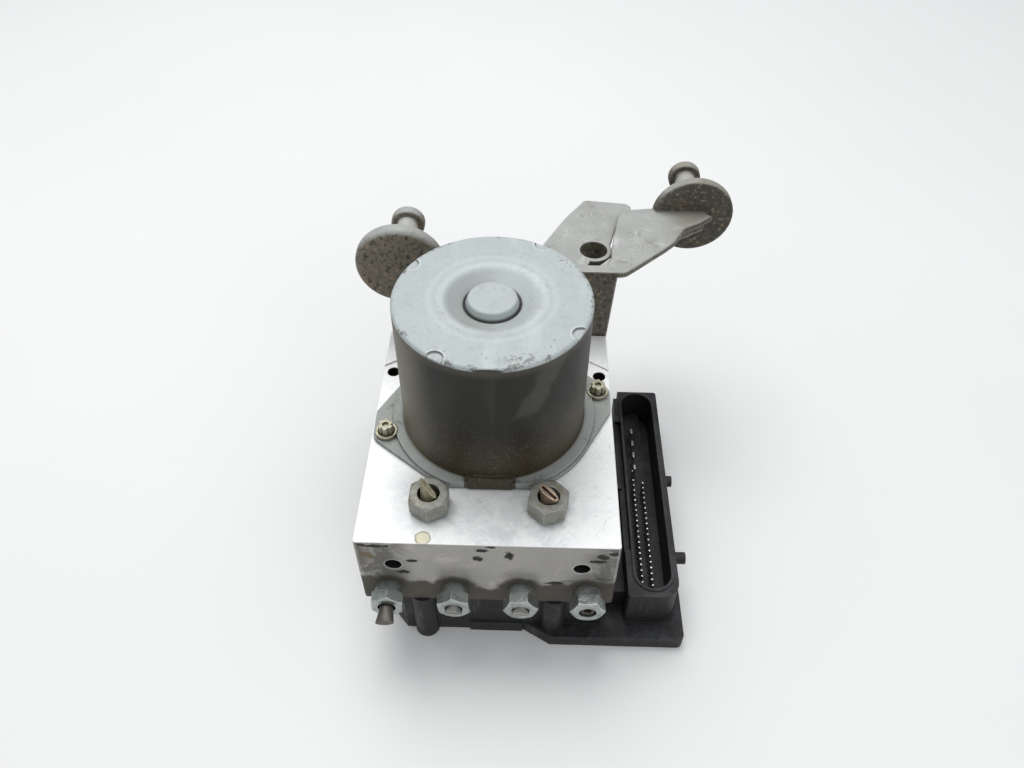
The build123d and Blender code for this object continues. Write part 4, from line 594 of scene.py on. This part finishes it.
shared = (
    (plain_metal("ground_steel", rgb(170, 172, 174), rgb(120, 122, 124), 0.3), (
        "gallery_plugs", "motor_end_plate", "armature_core", "motor_shaft", "eccentric_bearing", "main_bearing",
        "pump_pistons", "pump_cylinders", "pump_springs", "accumulator_spring_left",
        "accumulator_spring_right", "valves")),
    (plated_steel("zinc_steel", rgb(170, 176, 178), rgb(124, 130, 132), rgb(96, 88, 74), 0.3, 7.3), (
        "pump_plugs", "accumulator_caps", "ecu_screws", "bracket_screws")),
    (plain_metal("bare_copper", rgb(200, 130, 90), rgb(150, 84, 52), 0.35), (
        "armature_winding", "commutator", "motor_leads")),
    (plain_metal("pin_tin", rgb(214, 214, 208), rgb(150, 150, 144), 0.2), ("signal_pins", "power_blades")),
    (plain_metal("turned_aluminium", rgb(200, 202, 204), rgb(160, 162, 164), 0.35), (
        "accumulator_piston_left", "accumulator_piston_right")),
    (plain_plastic("seal_rubber", rgb(40, 40, 40), rgb(22, 22, 22), 0.7), ("ecu_seal", "motor_seal")),
    (black_plastic(), ("ecu_housing", "brush_holder", "motor_lead_carrier", "ecu_cover")),
)
for look, names in shared:
    for name in names:
        looks[name] = look

for name, node in nodes.items():
    node.data.materials.clear()
    node.data.materials.append(looks[name])


# ---------------------------------------------------------------- stage, lights, camera
def floor_paint():
    p = Paint("floor_paint")
    color = p.mix(rgb(226, 226, 225), rgb(233, 233, 232), p.noise(0.25, 3.0))
    return p.finish(color, 0.6, 0.0, [(p.noise(0.002, 2.0), 0.00005)], 0.0, 0.3)


def studio_world():
    """A soft sky, brighter overhead; the camera sees a plain white backdrop instead."""
    world = bpy.data.worlds.new("studio")
    world.use_nodes = True
    tree = world.node_tree
    tree.nodes.clear()

    def new(kind):
        return tree.nodes.new(kind)

    def link(a, b):
        tree.links.new(a, b)

    ray = new("ShaderNodeLightPath")
    seen = new("ShaderNodeMath")
    seen.operation = "MAXIMUM"
    link(ray.outputs["Is Camera Ray"], seen.inputs[0])
    link(ray.outputs["Is Transmission Ray"], seen.inputs[1])
    direction = new("ShaderNodeTexCoord")
    split = new("ShaderNodeSeparateXYZ")
    link(direction.outputs["Generated"], split.inputs[0])
    level = new("ShaderNodeMapRange")
    level.inputs["From Min"].default_value = 0.0
    level.inputs["From Max"].default_value = SKY_HIGH
    level.inputs["To Min"].default_value, level.inputs["To Max"].default_value = SKY_LEVELS
    link(split.outputs["Z"], level.inputs["Value"])
    sky = new("ShaderNodeBackground")
    sky.inputs["Color"].default_value = SKY_TINT
    link(level.outputs["Result"], sky.inputs["Strength"])
    backdrop = new("ShaderNodeBackground")
    backdrop.inputs["Color"].default_value = BACKDROP
    backdrop.inputs["Strength"].default_value = BACKDROP_LEVEL
    pick = new("ShaderNodeMixShader")
    link(seen.outputs[0], pick.inputs["Fac"])
    link(sky.outputs[0], pick.inputs[1])
    link(backdrop.outputs[0], pick.inputs[2])
    link(pick.outputs[0], new("ShaderNodeOutputWorld").inputs["Surface"])
    return world


def area_light(name, at, size, power, color=(1, 1, 1)):
    """A round soft lamp that faces the part; size is its diameter."""
    data = bpy.data.lights.new(name, "AREA")
    data.shape = "DISK"
    data.size = size
    data.energy = power
    data.color = color
    lamp = bpy.data.objects.new(name, data)
    lamp.location = at
    lamp.rotation_euler = (Vector(LAMP_TARGET) - Vector(at)).to_track_quat("-Z", "Y").to_euler()
    scene.collection.objects.link(lamp)


def photo_camera():
    """The camera that was fitted to the photo."""
    data = bpy.data.cameras.new("camera")
    data.sensor_width = SENSOR_MM
    data.lens = FOCAL_PIXELS / PHOTO_WIDTH * SENSOR_MM
    data.clip_start = 0.01
    camera = bpy.data.objects.new("camera", data)
    turn = Matrix((CAMERA_RIGHT, -CAMERA_DOWN, -CAMERA_AHEAD)).transposed().to_4x4()
    camera.matrix_world = Matrix.Translation(CAMERA_AT) @ turn
    scene.collection.objects.link(camera)
    return camera


mesh = bpy.data.meshes.new("floor")
corners = [(sx * FLOOR_HALF, sy * FLOOR_HALF, 0) for sx, sy in ((-1, -1), (1, -1), (1, 1), (-1, 1))]
mesh.from_pydata(corners, [], [(0, 1, 2, 3)])
mesh.materials.append(floor_paint())
floor = bpy.data.objects.new("floor", mesh)
floor.location.z = cad_low[2] - FLOOR_GAP
scene.collection.objects.link(floor)

scene.world = studio_world()
area_light("key", (-0.18, 0.40, 1.15), 0.9, 8.9)
area_light("fill", (0.6, -0.9, 0.7), 0.9, 2.5, FILL_TINT)
scene.camera = photo_camera()
scene.view_settings.view_transform = "Standard"
